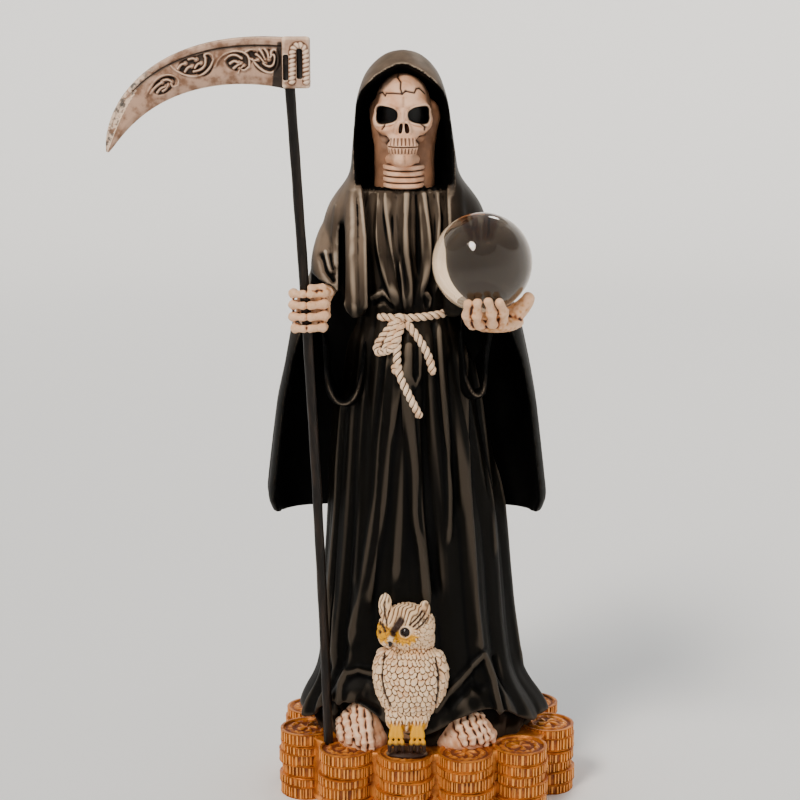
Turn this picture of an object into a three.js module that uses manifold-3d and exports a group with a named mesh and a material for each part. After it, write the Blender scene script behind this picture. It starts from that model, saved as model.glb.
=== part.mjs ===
// A cast resin figure of a hooded skeleton in a long robe, on a ring of stacked coins.
// It grips a scythe in its right hand and carries a clear glass ball in its left, with an owl at its feet.
// Millimetres, +Z up, the figure looks along -Y, origin in the middle of the underside of the coins.
// The casting is one solid. The scythe's shaft, its head and the ball are pieces of their own.
import * as THREE from "three";
import { mergeVertices } from "three/addons/utils/BufferGeometryUtils.js";
import Module from "manifold-3d";

const wasm = await Module();
wasm.setup();

// Robed figure, from the ground inside the coins to the top of its hood
const FIGURE_HEIGHT = 368;
const CAPE_WALL = 5; // thickness of the cape where its front edges hang
const HEM_WALL = 3; // thickness of the skirt's edge
const ROPE_RADIUS = 2.4;

// Coins
const COIN_RADIUS = 15;
const COIN_THICKNESS = 6.2;
const COINS_HIGH = 6;
const COIN_SIDES = 10;
const COIN_SLIP = 0.9; // how far a coin sits off the middle of its stack
const RING_HALF_X = 67; // the stacks stand on a rounded ring of these half widths
const RING_HALF_Y = 52;
const RING_Y = 2;
const RING_SQUARENESS = 2.5;
const GROUND_DROP = 1.2; // the ground inside the ring lies this far under the coins' tops
const STACK_ANGLES = [-108, -80, -36, -7, 12.5, 43, 86, 118, 148, 173, -169, -139]; // from the front
const SCYTHE_STACK = 2; // the stack that the shaft stands on
const OWL_STACK = 3; // and the one under the owl

// Owl
const OWL_HEIGHT = 85;

// Scythe
const SHAFT_RADIUS = 2.6;
const SHAFT_LENGTH = 358;
const SHAFT_BOW = 1.8;
const SHAFT_SIDES = 8;
const SHAFT_STEPS = 6;
const SHAFT_CLEARANCE = 0.4; // all round in the fist and in the coin
const FOOT_SOCKET_DEPTH = 2.4;
const HEAD_CLEARANCE = 0.3;
const HEAD_SOCKET_DEPTH = 9;
const HEAD_HEIGHT = 25;
const HEAD_WIDTH = 13.5;
const HEAD_THICKNESS = 11;
const BLADE_WIDTH = 25;
const BLADE_BACK = 7; // thickness along the outer edge
const BLADE_REACH = 91; // from the head to the point
const BLADE_DROP = 43.5;

// Glass ball
const BALL_RADIUS = 25;
const BALL_CLEARANCE = 0.3;
const BALL_DETAIL = 3;

const degrees = (a) => (a * Math.PI) / 180;
const mix = (a, b, t) => a + (b - a) * t;
const clamp01 = (t) => Math.min(1, Math.max(0, t));
const smooth = (t) => clamp01(t) ** 2 * (3 - 2 * clamp01(t));
const v3 = (x, y, z) => new THREE.Vector3(x, y, z);

// The figure's free forms are drawn on a grid with its height divided in 368 units.
const GRID_HEIGHT = 368;
const UNIT = FIGURE_HEIGHT / GRID_HEIGHT;
const COIN_TOP = COINS_HIGH * COIN_THICKNESS;
const GROUND = COIN_TOP - GROUND_DROP;

// A place on the figure's grid, whose zero height is the ground inside the coins.
const onGrid = (x, y, z) => v3(x * UNIT, y * UNIT, GROUND + z * UNIT);

// Reads a table of [key, value, value, ...] rows, in rising order of key.
function between(table, key) {
  const last = table.length - 1;
  if (key <= table[0][0]) return table[0].slice(1);
  if (key >= table[last][0]) return table[last].slice(1);
  const i = table.findIndex((row) => row[0] > key) - 1;
  const t = (key - table[i][0]) / (table[i + 1][0] - table[i][0]);
  return table[i].slice(1).map((value, k) => mix(value, table[i + 1][k + 1], t));
}

// Turns a closed geometry into a solid that can be joined and cut.
function solid(geometry) {
  const bare = new THREE.BufferGeometry();
  bare.setAttribute("position", geometry.getAttribute("position"));
  bare.setIndex(geometry.index);
  const merged = mergeVertices(bare, 1e-4);
  const triVerts = new Uint32Array(merged.index.array);
  const vertProperties = new Float32Array(merged.attributes.position.array);
  return new wasm.Manifold(new wasm.Mesh({ numProp: 3, vertProperties, triVerts }));
}

// The same for a geometry that is drawn on the figure's grid.
function form(geometry) {
  geometry.scale(UNIT, UNIT, UNIT);
  geometry.translate(0, 0, GROUND);
  return solid(geometry);
}

function geometryOf(body) {
  const mesh = body.getMesh();
  const geometry = new THREE.BufferGeometry();
  geometry.setAttribute("position", new THREE.BufferAttribute(mesh.vertProperties, 3));
  geometry.setIndex(new THREE.BufferAttribute(mesh.triVerts, 1));
  return geometry;
}

const joined = (bodies) => bodies.reduce((all, body) => all.add(body));

// A closed skin through rings of equally many points, its ends shut by fans to a tip or to their middle.
function skin(rings, firstTip, lastTip) {
  const count = rings[0].length;
  const middle = (ring) => ring.reduce((sum, p) => sum.add(p), v3(0, 0, 0)).divideScalar(count);
  const points = [...rings.flat(), firstTip ?? middle(rings[0]), lastTip ?? middle(rings.at(-1))];
  const low = points.length - 2;
  const top = (rings.length - 1) * count;
  const faces = [];
  for (let i = 0; i < count; i++) {
    const j = (i + 1) % count;
    faces.push([low, j, i], [low + 1, top + i, top + j]);
    for (let a = 0; a < top; a += count) {
      const b = a + count;
      faces.push([a + i, a + j, b + j], [a + i, b + j, b + i]);
    }
  }
  let volume = 0;
  for (const [a, b, c] of faces) volume += points[a].dot(points[b].clone().cross(points[c]));
  const outward = volume > 0 ? faces : faces.map(([a, b, c]) => [a, c, b]);
  const geometry = new THREE.BufferGeometry().setFromPoints(points);
  geometry.setIndex(outward.flat());
  return geometry;
}

// A tube of changing radius through the points, with rounded ends.
function limb(points, radii, sides = 6) {
  const rings = [];
  let across = null;
  points.forEach((point, i) => {
    const before = points[Math.max(0, i - 1)];
    const after = points[Math.min(points.length - 1, i + 1)];
    const along = after.clone().sub(before).normalize();
    const guide = across ?? (Math.abs(along.z) > 0.8 ? v3(0, 1, 0) : v3(0, 0, 1));
    across = guide.clone().addScaledVector(along, -guide.dot(along)).normalize();
    const other = along.clone().cross(across);
    const around = (k) => {
      const angle = (2 * Math.PI * k) / sides;
      const offset = across.clone().multiplyScalar(Math.cos(angle)).addScaledVector(other, Math.sin(angle));
      return point.clone().addScaledVector(offset, radii[i]);
    };
    rings.push(Array.from({ length: sides }, (_, k) => around(k)));
  });
  const end = (i, next) => {
    const out = points[i].clone().sub(points[next]).normalize();
    return points[i].clone().addScaledVector(out, 0.45 * radii[i]);
  };
  return skin(rings, end(0, 1), end(points.length - 1, points.length - 2));
}

// An egg with its own half widths, turned about Z by a number of degrees.
function egg(centre, half, turn = 0, across = 10, up = 6) {
  const geometry = new THREE.SphereGeometry(1, across, up);
  geometry.rotateX(Math.PI / 2);
  geometry.scale(half.x, half.y, half.z);
  geometry.rotateZ(degrees(turn));
  geometry.translate(centre.x, centre.y, centre.z);
  return geometry;
}

// A level ring of points. Angle 0 is the front, and it grows towards +X.
function levelRing(angles, z, { x, y = 0, half, front, back, power = 2 }, fold = () => 0) {
  return angles.map((angle, i) => {
    const s = Math.sin(angle);
    const c = Math.cos(angle);
    const px = half * Math.sign(s) * Math.abs(s) ** (2 / power);
    const py = -(c > 0 ? front : back) * Math.sign(c) * Math.abs(c) ** (2 / power);
    const grow = 1 + fold(angle, i) / Math.hypot(px, py);
    return v3(x + px * grow, y + py * grow, z);
  });
}

// Angles once round, with their own numbers of steps at the front and behind.
function anglesRound(frontCount, backCount) {
  const front = Array.from({ length: frontCount }, (_, i) => mix(-90, 90, i / frontCount));
  const back = Array.from({ length: backCount }, (_, i) => mix(90, 270, i / backCount));
  return [...front, ...back].map(degrees);
}

// One fold's ridge, 1 on its crest and 0 past its half width, all in radians.
function ridge(angle, crest, halfWidth) {
  const away = Math.abs(Math.atan2(Math.sin(angle - crest), Math.cos(angle - crest))) / halfWidth;
  return away < 1 ? Math.cos((away * Math.PI) / 2) ** 1.5 : 0;
}

// The body sways: its middle shifts sideways with height.
const SWAY = [
  [0, -1.4],
  [59, -5.6],
  [118, -6.3],
  [183, -11],
  [300, -12.6],
  [350, -14.2],
  [368, -13.6],
];
const swayAt = (z) => between(SWAY, z)[0];

// Gown: a pleated chest, a tied waist and a skirt of long folds

const WAIST = 230;
const COLLAR = 298;
const SKIRT_HEM = 9;
const GOWN_SHAPE = [
  // height, half width, front, back
  [8, 66, 47, 57],
  [18, 62, 46, 54],
  [28, 55, 44, 50],
  [40, 51.5, 42.5, 47],
  [59, 50, 41, 44],
  [119, 45.8, 36.5, 38],
  [179, 38.5, 31.5, 33],
  [216, 33, 28, 30],
  [WAIST, 29, 23.5, 28],
  [242, 31, 25, 29],
  [269, 32, 25.5, 29],
  [290, 28, 21, 26],
  [COLLAR, 23, 17, 22],
];
const GOWN_FOLDS = [
  // crest at the collar, at the waist and at the hem in degrees, height on the chest and at the hem
  [-160, -158, -162, 1, 5],
  [-128, -122, -126, 1, 5.4],
  [-100, -90, -97, 1.2, 5],
  [-78, -64, -73, 1.6, 5.5],
  [-60, -43, -57, 2.4, 4.6],
  [-41, -24, -44, 2.8, 7],
  [-21, -10, -17, 3.2, 4.4],
  [1, 2, 7, 3.4, 5.6],
  [23, 17, 21, 3, 4],
  [42, 34, 42, 2.6, 7],
  [60, 56, 60, 2.2, 4.6],
  [84, 82, 86, 1.4, 5],
  [116, 116, 118, 1, 5],
  [152, 150, 153, 1, 5.6],
];
const FOLD_AT_WAIST = 1.8;
const LIFTED_RINGS = 5;

// Crests and the valleys between them at one height, as rows of angle and fold height.
function foldPoints(z) {
  const down = clamp01((WAIST - z) / (WAIST - SKIRT_HEM));
  const up = clamp01((z - WAIST) / (COLLAR - WAIST));
  const pinch = mix(0.35, 1, smooth(Math.abs(z - WAIST) / 14));
  const crests = GOWN_FOLDS.map(([collar, waist, hem, onChest, atHem]) => {
    const angle = z < WAIST ? mix(waist, hem, smooth(down)) : mix(waist, collar, up);
    const height = z < WAIST ? mix(FOLD_AT_WAIST, atHem, down) : onChest;
    return [degrees(angle), height * pinch];
  });
  return crests.flatMap(([angle, height], i) => {
    const next = i + 1 < crests.length ? crests[i + 1][0] : crests[0][0] + 2 * Math.PI;
    return [[angle, height], [(angle + next) / 2, 0]];
  });
}

const gownFold = (angle, z) => between(foldPoints(z), angle)[0];

// The skirt's edge is lifted over each foot.
function hemLift(angle) {
  return 17 * ridge(angle, degrees(-38), degrees(34)) + 13 * ridge(angle, degrees(30), degrees(34));
}

function gown() {
  const ring = (z, at = z, inset = 0) => {
    const points = foldPoints(z);
    const [half, front, back] = between(GOWN_SHAPE, z);
    const shape = { x: swayAt(z), half: half - inset, front: front - inset, back: back - inset };
    return levelRing(points.map(([angle]) => angle), at, shape, (_, i) => points[i][1]);
  };
  const wall = HEM_WALL / UNIT;
  const levels = [SKIRT_HEM, 16, 27, 46, 84, 140, 190, 220, WAIST, 242, 264, 284, COLLAR];
  const rings = [ring(SKIRT_HEM, SKIRT_HEM, wall), ...levels.map((z) => ring(z))];
  const low = foldPoints(SKIRT_HEM);
  rings.slice(0, LIFTED_RINGS).forEach((points, i) => {
    const share = Math.min(1, (LIFTED_RINGS - i) / (LIFTED_RINGS - 1));
    points.forEach((p, k) => (p.z += share * hemLift(low[k][0])));
  });
  return form(skin([ring(SKIRT_HEM, -3, 3 * wall), ...rings]));
}

// Cape and hood: one shell, hollow at the front

const CAPE_HEM = 121;
const HOOD_FOOT = 302;
const CAPE_SHAPE = [
  // height, half width, front, back, squareness
  [CAPE_HEM, 72, 22, 40, 2.8],
  [CAPE_HEM + 8, 76.2, 25, 42, 2.8],
  [183, 69.8, 27, 39, 2.7],
  [226, 61, 28, 36, 2.5],
  [249, 52, 28, 35, 2.4],
  [268, 46, 30, 34, 2.4],
  [284, 42, 31, 33, 2.4],
  [292, 38, 31.5, 32, 2.4],
  [298, 32.5, 32, 32, 2.6],
  [HOOD_FOOT + 2, 28.4, 33, 32, 3.2],
  [342, 24, 35, 31, 3.6],
  [351.5, 21.1, 31, 27, 3],
  [356, 17.9, 27, 22, 2.6],
  [360, 14.4, 21, 17, 2.3],
  [364.4, 9.4, 12, 12, 2],
];
const HOOD_HOLLOW = [
  // height, half width, depth behind the body's middle
  [219, 20.5, -14],
  [232, 21, -12],
  [264, 21, -6],
  [286, 23, -2],
  [300, 24.6, 2],
  [312, 24.8, 4],
  [336, 22.4, 4],
  [345, 20, 2],
  [352, 15.8, -4],
  [357, 10, -12],
  [360, 4, -16],
];
const HOLLOW_FRONT = -32; // the hollows are widest here and open out in front
const BACK_FOLDS = 7; // crests on the cape's back
const BACK_FOLD_HEIGHT = 3;

function capeFold(angle, z) {
  const low = smooth((HOOD_FOOT - z) / 120);
  const behind = smooth((Math.abs(angle) - degrees(75)) / degrees(40));
  return BACK_FOLD_HEIGHT * low * behind * Math.cos(2 * BACK_FOLDS * angle);
}

// Under this height the cape hangs straight down, while the skirt inside it swings.
const CAPE_STRAIGHT = 200;
const capeX = (z) => swayAt(Math.max(z, CAPE_STRAIGHT));

function capeShape(z) {
  const [half, front, back, power] = between(CAPE_SHAPE, z);
  return { x: capeX(z), half, front, back, power };
}

function cape() {
  const angles = anglesRound(14, 2 * BACK_FOLDS);
  const levels = CAPE_SHAPE.map(([z]) => z);
  const rings = levels.map((z) => levelRing(angles, z, capeShape(z), (angle) => capeFold(angle, z)));
  const outside = form(skin(rings, null, v3(swayAt(GRID_HEIGHT), 0.5, GRID_HEIGHT)));
  return outside.subtract(capeHollow()).subtract(hoodHollow());
}

// The space between the cape's hanging front edges.
function capeHollow() {
  const angles = anglesRound(2, 10);
  const rings = [CAPE_HEM - 3, CAPE_HEM + 8, 183, 206, 226, 234].map((z) => {
    const close = smooth((z - 204) / 30);
    const half = capeShape(z).half - CAPE_WALL / UNIT - 4 * close;
    const shape = { x: capeX(z), y: HOLLOW_FRONT, half, front: 20, back: mix(46, 34, close), power: 5 };
    return levelRing(angles, z, shape);
  });
  return form(skin(rings));
}

// The space inside the hood, running down between the front edges to the waist.
function hoodHollow() {
  const angles = anglesRound(2, 10);
  const rings = HOOD_HOLLOW.map(([z, half, depth]) => {
    const shape = { x: swayAt(z), y: HOLLOW_FRONT, half, front: 20, back: depth - HOLLOW_FRONT, power: 6 };
    return levelRing(angles, z, shape);
  });
  return form(skin(rings));
}

// Sleeves and the panels that hang beside them. The first is the scythe's arm, the second the ball's.

const ARMS = [
  {
    line: [v3(-37, 2, 281), v3(-44.5, -3, 268), v3(-49.5, -14, 252), v3(-50, -30, 246), v3(-51, -41, 243)],
    drop: { x: -43, half: 10.5, bottom: 181, y: -31 },
    panelX: -41,
  },
  {
    line: [v3(13, 2, 281), v3(22, -4, 264), v3(30, -18, 248), v3(38, -32, 236), v3(41, -39, 232)],
    drop: { x: 25, half: 6.9, bottom: 184, y: -29 },
    panelX: 16.5,
  },
];
const SLEEVE_RADII = [15.5, 15.5, 14.5, 12.5, 9];
const PANEL = [
  // height, place from front to back, radius
  [292, -19, 4.5],
  [280, -24, 6.3],
  [262, -25.5, 6.4],
  [244, -26, 6],
  [236, -26, 4],
];
const DROP_TOP = 248;
const DROP_RIM = 2.2;
const DROP_HOLLOW = 5;

// The sleeve's open end hangs down in a long drop with a raised rim round its mouth.
function sleeveDrop({ x, half, bottom, y }) {
  const angles = anglesRound(8, 2);
  const drop = (grow, front, shift) => {
    const rings = [0, 0.04, 0.14, 0.36, 1].map((t) => {
      const round = Math.sqrt(1 - (1 - Math.min(1, t / 0.42)) ** 2);
      const wide = half * mix(0.3, 1, round) - grow;
      const shape = { x, y: y + shift + 5 * (1 - t), half: wide, front, back: 20, power: 2.4 };
      return levelRing(angles, mix(bottom + grow, DROP_TOP, t), shape);
    });
    return form(skin(rings));
  };
  const mouth = drop(DROP_RIM, 24, -27 + DROP_HOLLOW);
  return drop(0, 7, 0).subtract(mouth);
}

function sleeve(arm) {
  const cloth = form(limb(arm.line, SLEEVE_RADII, 8));
  const line = PANEL.map(([z, y]) => v3(arm.panelX, y, z));
  const panel = form(limb(line, PANEL.map(([, , radius]) => radius), 6));
  return joined([cloth, panel, sleeveDrop(arm.drop)]);
}

// The deep crease between each upper arm and its panel.
function crease(arm) {
  const x = arm.panelX + 6.6 * Math.sign(arm.panelX);
  const line = [240, 252, 266, 281].map((z) => v3(x, -29, z));
  return form(limb(line, [3.6, 3.4, 2.6, 0.8], 6));
}

// Skull and neck

const SKULL_X = -14;
const HEAD_Y = -3;
const EYE_Z = 334.4;
const EYE_APART = 8;
const NOSE_DROP = 9; // the face's other parts lie this far under the eyes
const UPPER_TEETH_DROP = 13.6;
const LOWER_TEETH_DROP = 17.4;
const JAW_DROP = 22.8;
const TOOTH_COUNT = 6;
const SKULL_SHAPE = [
  // height, half width, front, back
  [308, 6.5, 20, 2],
  [310.5, 9.6, 22.6, 2],
  [313.5, 10.8, 23.4, 4],
  [319, 11.4, 23.6, 8],
  [323.5, 12.2, 23.6, 10],
  [327.5, 14.6, 22.8, 13],
  [331, 15.6, 22, 16],
  [340.5, 15.3, 23.4, 19],
  [347, 13.8, 21, 19],
  [352, 10.8, 16, 15],
  [355.2, 6, 9, 8],
];

function skull() {
  const at = (x, y, z) => v3(SKULL_X + x, HEAD_Y + y, z);
  const angles = anglesRound(14, 4);
  const rings = SKULL_SHAPE.map(([z, half, front, back]) =>
    levelRing(angles, z, { x: SKULL_X, y: HEAD_Y, half, front, back, power: 2.15 }),
  );
  const adds = [form(skin(rings, at(0, -12, 307.4), at(0, 0, 356.6)))];
  const cuts = [];
  for (const side of [-1, 1]) {
    const face = ([x, y, drop]) => at(side * x, y, EYE_Z - drop);
    const tube = (points, radii) => form(limb(points.map(face), radii, 5));
    cuts.push(form(egg(face([EYE_APART, -23, 0]), v3(5.5, 8, 4.5), 0, 8, 6)));
    cuts.push(form(egg(face([13.4, -18, 14.4]), v3(3, 6, 5.4), side * 20, 6, 4)));
    cuts.push(tube([[1.6, -25, NOSE_DROP], [0.9, -24.5, NOSE_DROP - 5]], [1.7, 1]));
    const cheek = [[6.5, -22.4, 7.8], [11, -21.4, 8.6], [14.6, -16.6, 5.4], [16, -7, 2.8]];
    adds.push(tube(cheek, [1.6, 2, 1.8, 1.2]));
    const jaw = [[14.4, -10, 7.4], [12.8, -13, 16.4], [9.8, -17.4, JAW_DROP]];
    adds.push(tube(jaw, [1.6, 1.8, 2]));
  }
  const upper = teeth(EYE_Z - UPPER_TEETH_DROP, 3.6);
  const lower = teeth(EYE_Z - LOWER_TEETH_DROP, 3);
  return joined([joined(adds).subtract(joined(cuts)), ...upper, ...lower]);
}

// One row of teeth on the curve of the jaw.
function teeth(z, height) {
  return Array.from({ length: TOOTH_COUNT }, (_, i) => {
    const angle = degrees(mix(-37, 37, i / (TOOTH_COUNT - 1)));
    const tooth = new THREE.BoxGeometry(2.1, 2.8, height);
    tooth.rotateZ(angle);
    tooth.translate(SKULL_X + 10.6 * Math.sin(angle), HEAD_Y - 13 - 10.6 * Math.cos(angle), z);
    return form(tooth);
  });
}

function neck() {
  const steps = 8;
  const angles = anglesRound(8, 2);
  const rings = Array.from({ length: steps + 1 }, (_, i) => {
    const radius = i % 2 ? 12 : 10.8;
    const shape = { x: SKULL_X, y: HEAD_Y - 4, half: radius, front: radius, back: 8 };
    return levelRing(angles, mix(COLLAR - 2, 310, i / steps), shape);
  });
  const nape = [295, 309, 322, 338].map((z) =>
    levelRing(anglesRound(4, 2), z, { x: SKULL_X, y: HEAD_Y, half: 16, front: 9, back: 16, power: 3 }),
  );
  return form(skin(rings)).add(form(skin(nape)));
}

// Hands

// A row of small bones, thick at each joint and thin between.
function finger(points, radius) {
  const path = [];
  const radii = [];
  points.forEach((point, i) => {
    path.push(point);
    radii.push(radius);
    if (i + 1 < points.length) {
      path.push(point.clone().lerp(points[i + 1], 0.5));
      radii.push(0.78 * radius);
    }
  });
  return solid(limb(path, radii, 4));
}

const FIST_ROWS = 4;
const FIST_ROW_STEP = 6;

function fist() {
  const grip = gripPoint();
  const at = (x, y, z) => grip.clone().add(v3(x, y, z).multiplyScalar(UNIT));
  const wrap = SHAFT_RADIUS + SHAFT_CLEARANCE;
  const thick = 3.2 * UNIT;
  const bones = [solid(egg(at(3.4, 9.6, 0), v3(10, 6, 12).multiplyScalar(UNIT), 0, 8, 6))];
  for (let i = 0; i < FIST_ROWS; i++) {
    const z = FIST_ROW_STEP * ((FIST_ROWS - 1) / 2 - i);
    const short = i === FIST_ROWS - 1 ? 1.6 : 0;
    const row = [at(10.4 - short, 6, z), at(9.4 - short, -2, z), at(0.6, 0, z), at(-8 + short, 1, z)];
    row[2].y -= wrap + 1.1 * thick;
    bones.push(finger(row, thick));
  }
  const wrist = onGrid(...ARMS[0].line.at(-1).toArray());
  bones.push(solid(limb([wrist, at(8, 6, 5)], [6 * UNIT, 6.4 * UNIT], 8)));
  bones.push(finger([at(12, 4, 8), at(8.5, -4, 12.6), at(0.5, -6.4, 12.4)], thick));
  return joined(bones).subtract(shaftSolid(SHAFT_CLEARANCE));
}

const BALL_FINGERS = [-19, -6, 7, 20]; // directions from the ball's middle, from the front
const BALL_FINGER_TIPS = [51, 56, 57, 54]; // how far round the ball each one reaches, from its lowest point

function openHand() {
  const centre = ballCentre();
  // A point round the ball, by its direction seen from above and its angle from the ball's lowest point.
  const round = (direction, rise, out) => {
    const reach = BALL_RADIUS + out * UNIT;
    const across = reach * Math.sin(degrees(rise));
    const d = degrees(direction);
    const drop = reach * Math.cos(degrees(rise));
    return centre.clone().add(v3(across * Math.sin(d), -across * Math.cos(d), -drop));
  };
  const bones = [solid(egg(round(100, 12, 5), v3(15, 13, 6.5).multiplyScalar(UNIT), -15, 8, 5))];
  BALL_FINGERS.forEach((direction, i) => {
    const root = round(direction + 60, 9, 6);
    const tip = round(direction, BALL_FINGER_TIPS[i], 3.1);
    const joints = [round(direction + 8, 27, 6), round(direction, 42, 4.2), tip];
    bones.push(finger([root, ...joints], 2.8 * UNIT));
  });
  bones.push(finger([round(75, 14, 5), round(72, 36, 5), round(66, 56, 3)], 4.2 * UNIT));
  const wrist = onGrid(...ARMS[1].line.at(-1).toArray());
  bones.push(solid(limb([wrist, round(150, 20, 6)], [6.5 * UNIT, 6.5 * UNIT], 8)));
  return joined(bones).subtract(ballSolid(BALL_CLEARANCE));
}

// Rope belt with its bow

const ROPE_RUNS = [
  [[-31, 231], [-23, 230.2], [-14, 229.8], [-5, 230.4], [3, 231], [11, 232]],
  [[-17, 229], [-22, 223], [-28, 215], [-26.6, 210.6], [-21.5, 214], [-15, 228]],
  [[-16, 228], [-16.6, 214], [-16.4, 203], [-10.4, 191], [-4.4, 178.5]],
  [[-12, 228], [-5, 219.5], [0.6, 209.5], [2.2, 200.5]],
];

function rope() {
  const lay = (x, z, proud) => {
    const [half, front] = between(GOWN_SHAPE, z);
    const angle = Math.asin((x - swayAt(z)) / half);
    return onGrid(x, -front * Math.cos(angle) - proud - 0.8 * gownFold(angle, z), z);
  };
  const runs = ROPE_RUNS.map((run) => {
    const points = run.map(([x, z]) => lay(x, z, 1.4));
    return solid(limb(points, points.map(() => ROPE_RADIUS), 5));
  });
  const knot = solid(egg(lay(-14.5, 229, 2), v3(1.9, 1.5, 1.7).multiplyScalar(ROPE_RADIUS), 0, 6, 4));
  const stop = solid(egg(lay(-16.8, 204.5, 1.6), v3(1.4, 1.2, 1.3).multiplyScalar(ROPE_RADIUS), 0, 6, 4));
  return joined([...runs, knot, stop]);
}

// Bare feet

const TOE_COUNT = 5;

function foot(x, splay) {
  const bones = [form(egg(v3(x, -27, 8), v3(12.5, 14, 11), 0, 7, 5))];
  for (let i = 0; i < TOE_COUNT; i++) {
    const share = i / (TOE_COUNT - 1) - 0.5;
    const start = v3(x + 13 * share, -26, 17 - 8 * Math.abs(share));
    const end = v3(x + 21 * share + splay, -43 + 6 * Math.abs(share), 3.6);
    const middle = start.clone().lerp(end, 0.6).add(v3(0, -2, 3));
    bones.push(form(limb([start, middle, end], [3.2, 3.7, 3.1], 4)));
  }
  return joined(bones);
}

// Owl

function owl() {
  const stand = stackCentre(OWL_STACK);
  const at = (x, y, z) => v3(stand.x + x * OWL_HEIGHT, stand.y + y * OWL_HEIGHT, COIN_TOP + z * OWL_HEIGHT);
  const size = (x, y, z) => v3(x, y, z).multiplyScalar(OWL_HEIGHT);
  const parts = [
    egg(at(0.03, 0.12, 0.49), size(0.235, 0.195, 0.33), 0, 9, 7),
    egg(at(0.02, 0.12, 0.2), size(0.15, 0.13, 0.17), 0, 6, 4),
    egg(at(0.01, 0.1, 0.83), size(0.185, 0.175, 0.15), -25, 9, 6),
    egg(at(-0.1, -0.01, 0.79), size(0.075, 0.06, 0.09), -50, 6, 4),
    egg(at(0.03, -0.04, 0.79), size(0.085, 0.06, 0.09), 5, 6, 4),
    limb([at(-0.05, -0.06, 0.81), at(-0.065, -0.095, 0.75)], [0.022 * OWL_HEIGHT, 0.012 * OWL_HEIGHT], 5),
  ];
  for (const [side, tip] of [
    [-1, at(-0.145, 0.1, 0.985)],
    [1, at(0.15, 0.07, 0.945)],
  ]) {
    parts.push(limb([at(0.1 * side, 0.08, 0.86), tip], [0.075 * OWL_HEIGHT, 0.026 * OWL_HEIGHT], 5));
    parts.push(egg(at(0.03 + side * 0.155, 0.13, 0.46), size(0.085, 0.18, 0.27), side * 10, 6, 5));
    for (const spread of [-0.045, 0, 0.045]) {
      const toe = at(side * 0.085 + spread, -0.02, 0.02);
      const heel = at(side * 0.08 + 0.9 * spread, 0.08, 0.08);
      parts.push(limb([heel, toe], [0.024 * OWL_HEIGHT, 0.022 * OWL_HEIGHT], 4));
    }
  }
  return joined(parts.map(solid));
}

// Base: a ring of stacked coins round solid ground

const superRound = (value) => Math.sign(value) * Math.abs(value) ** (2 / RING_SQUARENESS);

function stackCentre(index) {
  const angle = degrees(STACK_ANGLES[index]);
  return v3(RING_HALF_X * superRound(Math.sin(angle)), RING_Y - RING_HALF_Y * superRound(Math.cos(angle)), 0);
}

// One stack as one solid: each coin is a little off the one under it.
function stack(index) {
  const centre = stackCentre(index);
  const angles = anglesRound(COIN_SIDES / 2, COIN_SIDES / 2).map((angle) => angle + index);
  const rings = [];
  for (let i = 0; i < COINS_HIGH; i++) {
    const turn = 2.4 * i + 1.7 * index;
    const off = i && i < COINS_HIGH - 1 ? COIN_SLIP : 0;
    const shape = { x: centre.x + off * Math.cos(turn), y: centre.y + off * Math.sin(turn) };
    const size = { half: COIN_RADIUS, front: COIN_RADIUS, back: COIN_RADIUS };
    for (const edge of [0.06, 0.94]) {
      rings.push(levelRing(angles, (i + edge) * COIN_THICKNESS, { ...shape, ...size }));
    }
  }
  rings[0].forEach((p) => (p.z = 0));
  rings.at(-1).forEach((p) => (p.z = COIN_TOP));
  return solid(skin(rings));
}

function base() {
  const angles = anglesRound(12, 12);
  const size = { half: RING_HALF_X, front: RING_HALF_Y, back: RING_HALF_Y };
  const shape = { x: 0, y: RING_Y, ...size, power: RING_SQUARENESS };
  const ground = solid(skin([levelRing(angles, 0, shape), levelRing(angles, GROUND, shape)]));
  return joined([ground, ...STACK_ANGLES.map((_, index) => stack(index))]);
}

// Scythe

const gripPoint = () => onGrid(-62.7, -50, 237.5);

function shaftFoot() {
  const centre = stackCentre(SCYTHE_STACK);
  const floor = COIN_TOP - FOOT_SOCKET_DEPTH + SHAFT_CLEARANCE;
  return v3(centre.x - 0.64 * COIN_RADIUS, centre.y + 0.52 * COIN_RADIUS, floor);
}

const headBottom = () => shaftFoot().z + SHAFT_LENGTH - HEAD_SOCKET_DEPTH;

// A point on the shaft's middle line. It starts at the foot, bows a little and passes through the fist.
function shaftAt(z) {
  const foot = shaftFoot();
  const grip = gripPoint();
  const lean = grip.clone().sub(foot).divideScalar(grip.z - foot.z);
  const t = (z - foot.z) / SHAFT_LENGTH;
  const g = (grip.z - foot.z) / SHAFT_LENGTH;
  const bow = 4 * SHAFT_BOW * t * (g - t);
  return v3(foot.x + lean.x * (z - foot.z) + bow, foot.y + lean.y * (z - foot.z), z);
}

function shaftSolid(clearance = 0) {
  const low = shaftFoot().z - clearance;
  const high = shaftFoot().z + SHAFT_LENGTH + clearance;
  const angles = anglesRound(SHAFT_SIDES / 2, SHAFT_SIDES / 2);
  const radius = SHAFT_RADIUS + clearance;
  const rings = Array.from({ length: SHAFT_STEPS + 1 }, (_, i) => {
    const z = mix(low, high, i / SHAFT_STEPS);
    const { x, y } = shaftAt(z);
    return levelRing(angles, z, { x, y, half: radius, front: radius, back: radius });
  });
  return solid(skin(rings));
}

// The middle line of the blade runs from the head to the point in one bend.
function bladeLine() {
  const root = shaftAt(headBottom() + HEAD_HEIGHT / 2);
  const start = v3(root.x + 0.1 * HEAD_WIDTH, root.y, root.z - 0.02 * HEAD_HEIGHT);
  const point = start.clone().add(v3(-BLADE_REACH, 0, -BLADE_DROP));
  const leave = start.clone().add(v3(-0.48 * BLADE_REACH, 0, 0.15 * BLADE_DROP));
  const arrive = point.clone().add(v3(0.11 * BLADE_REACH, 0, 0.79 * BLADE_DROP));
  return new THREE.CubicBezierCurve3(start, leave, arrive, point);
}

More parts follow.
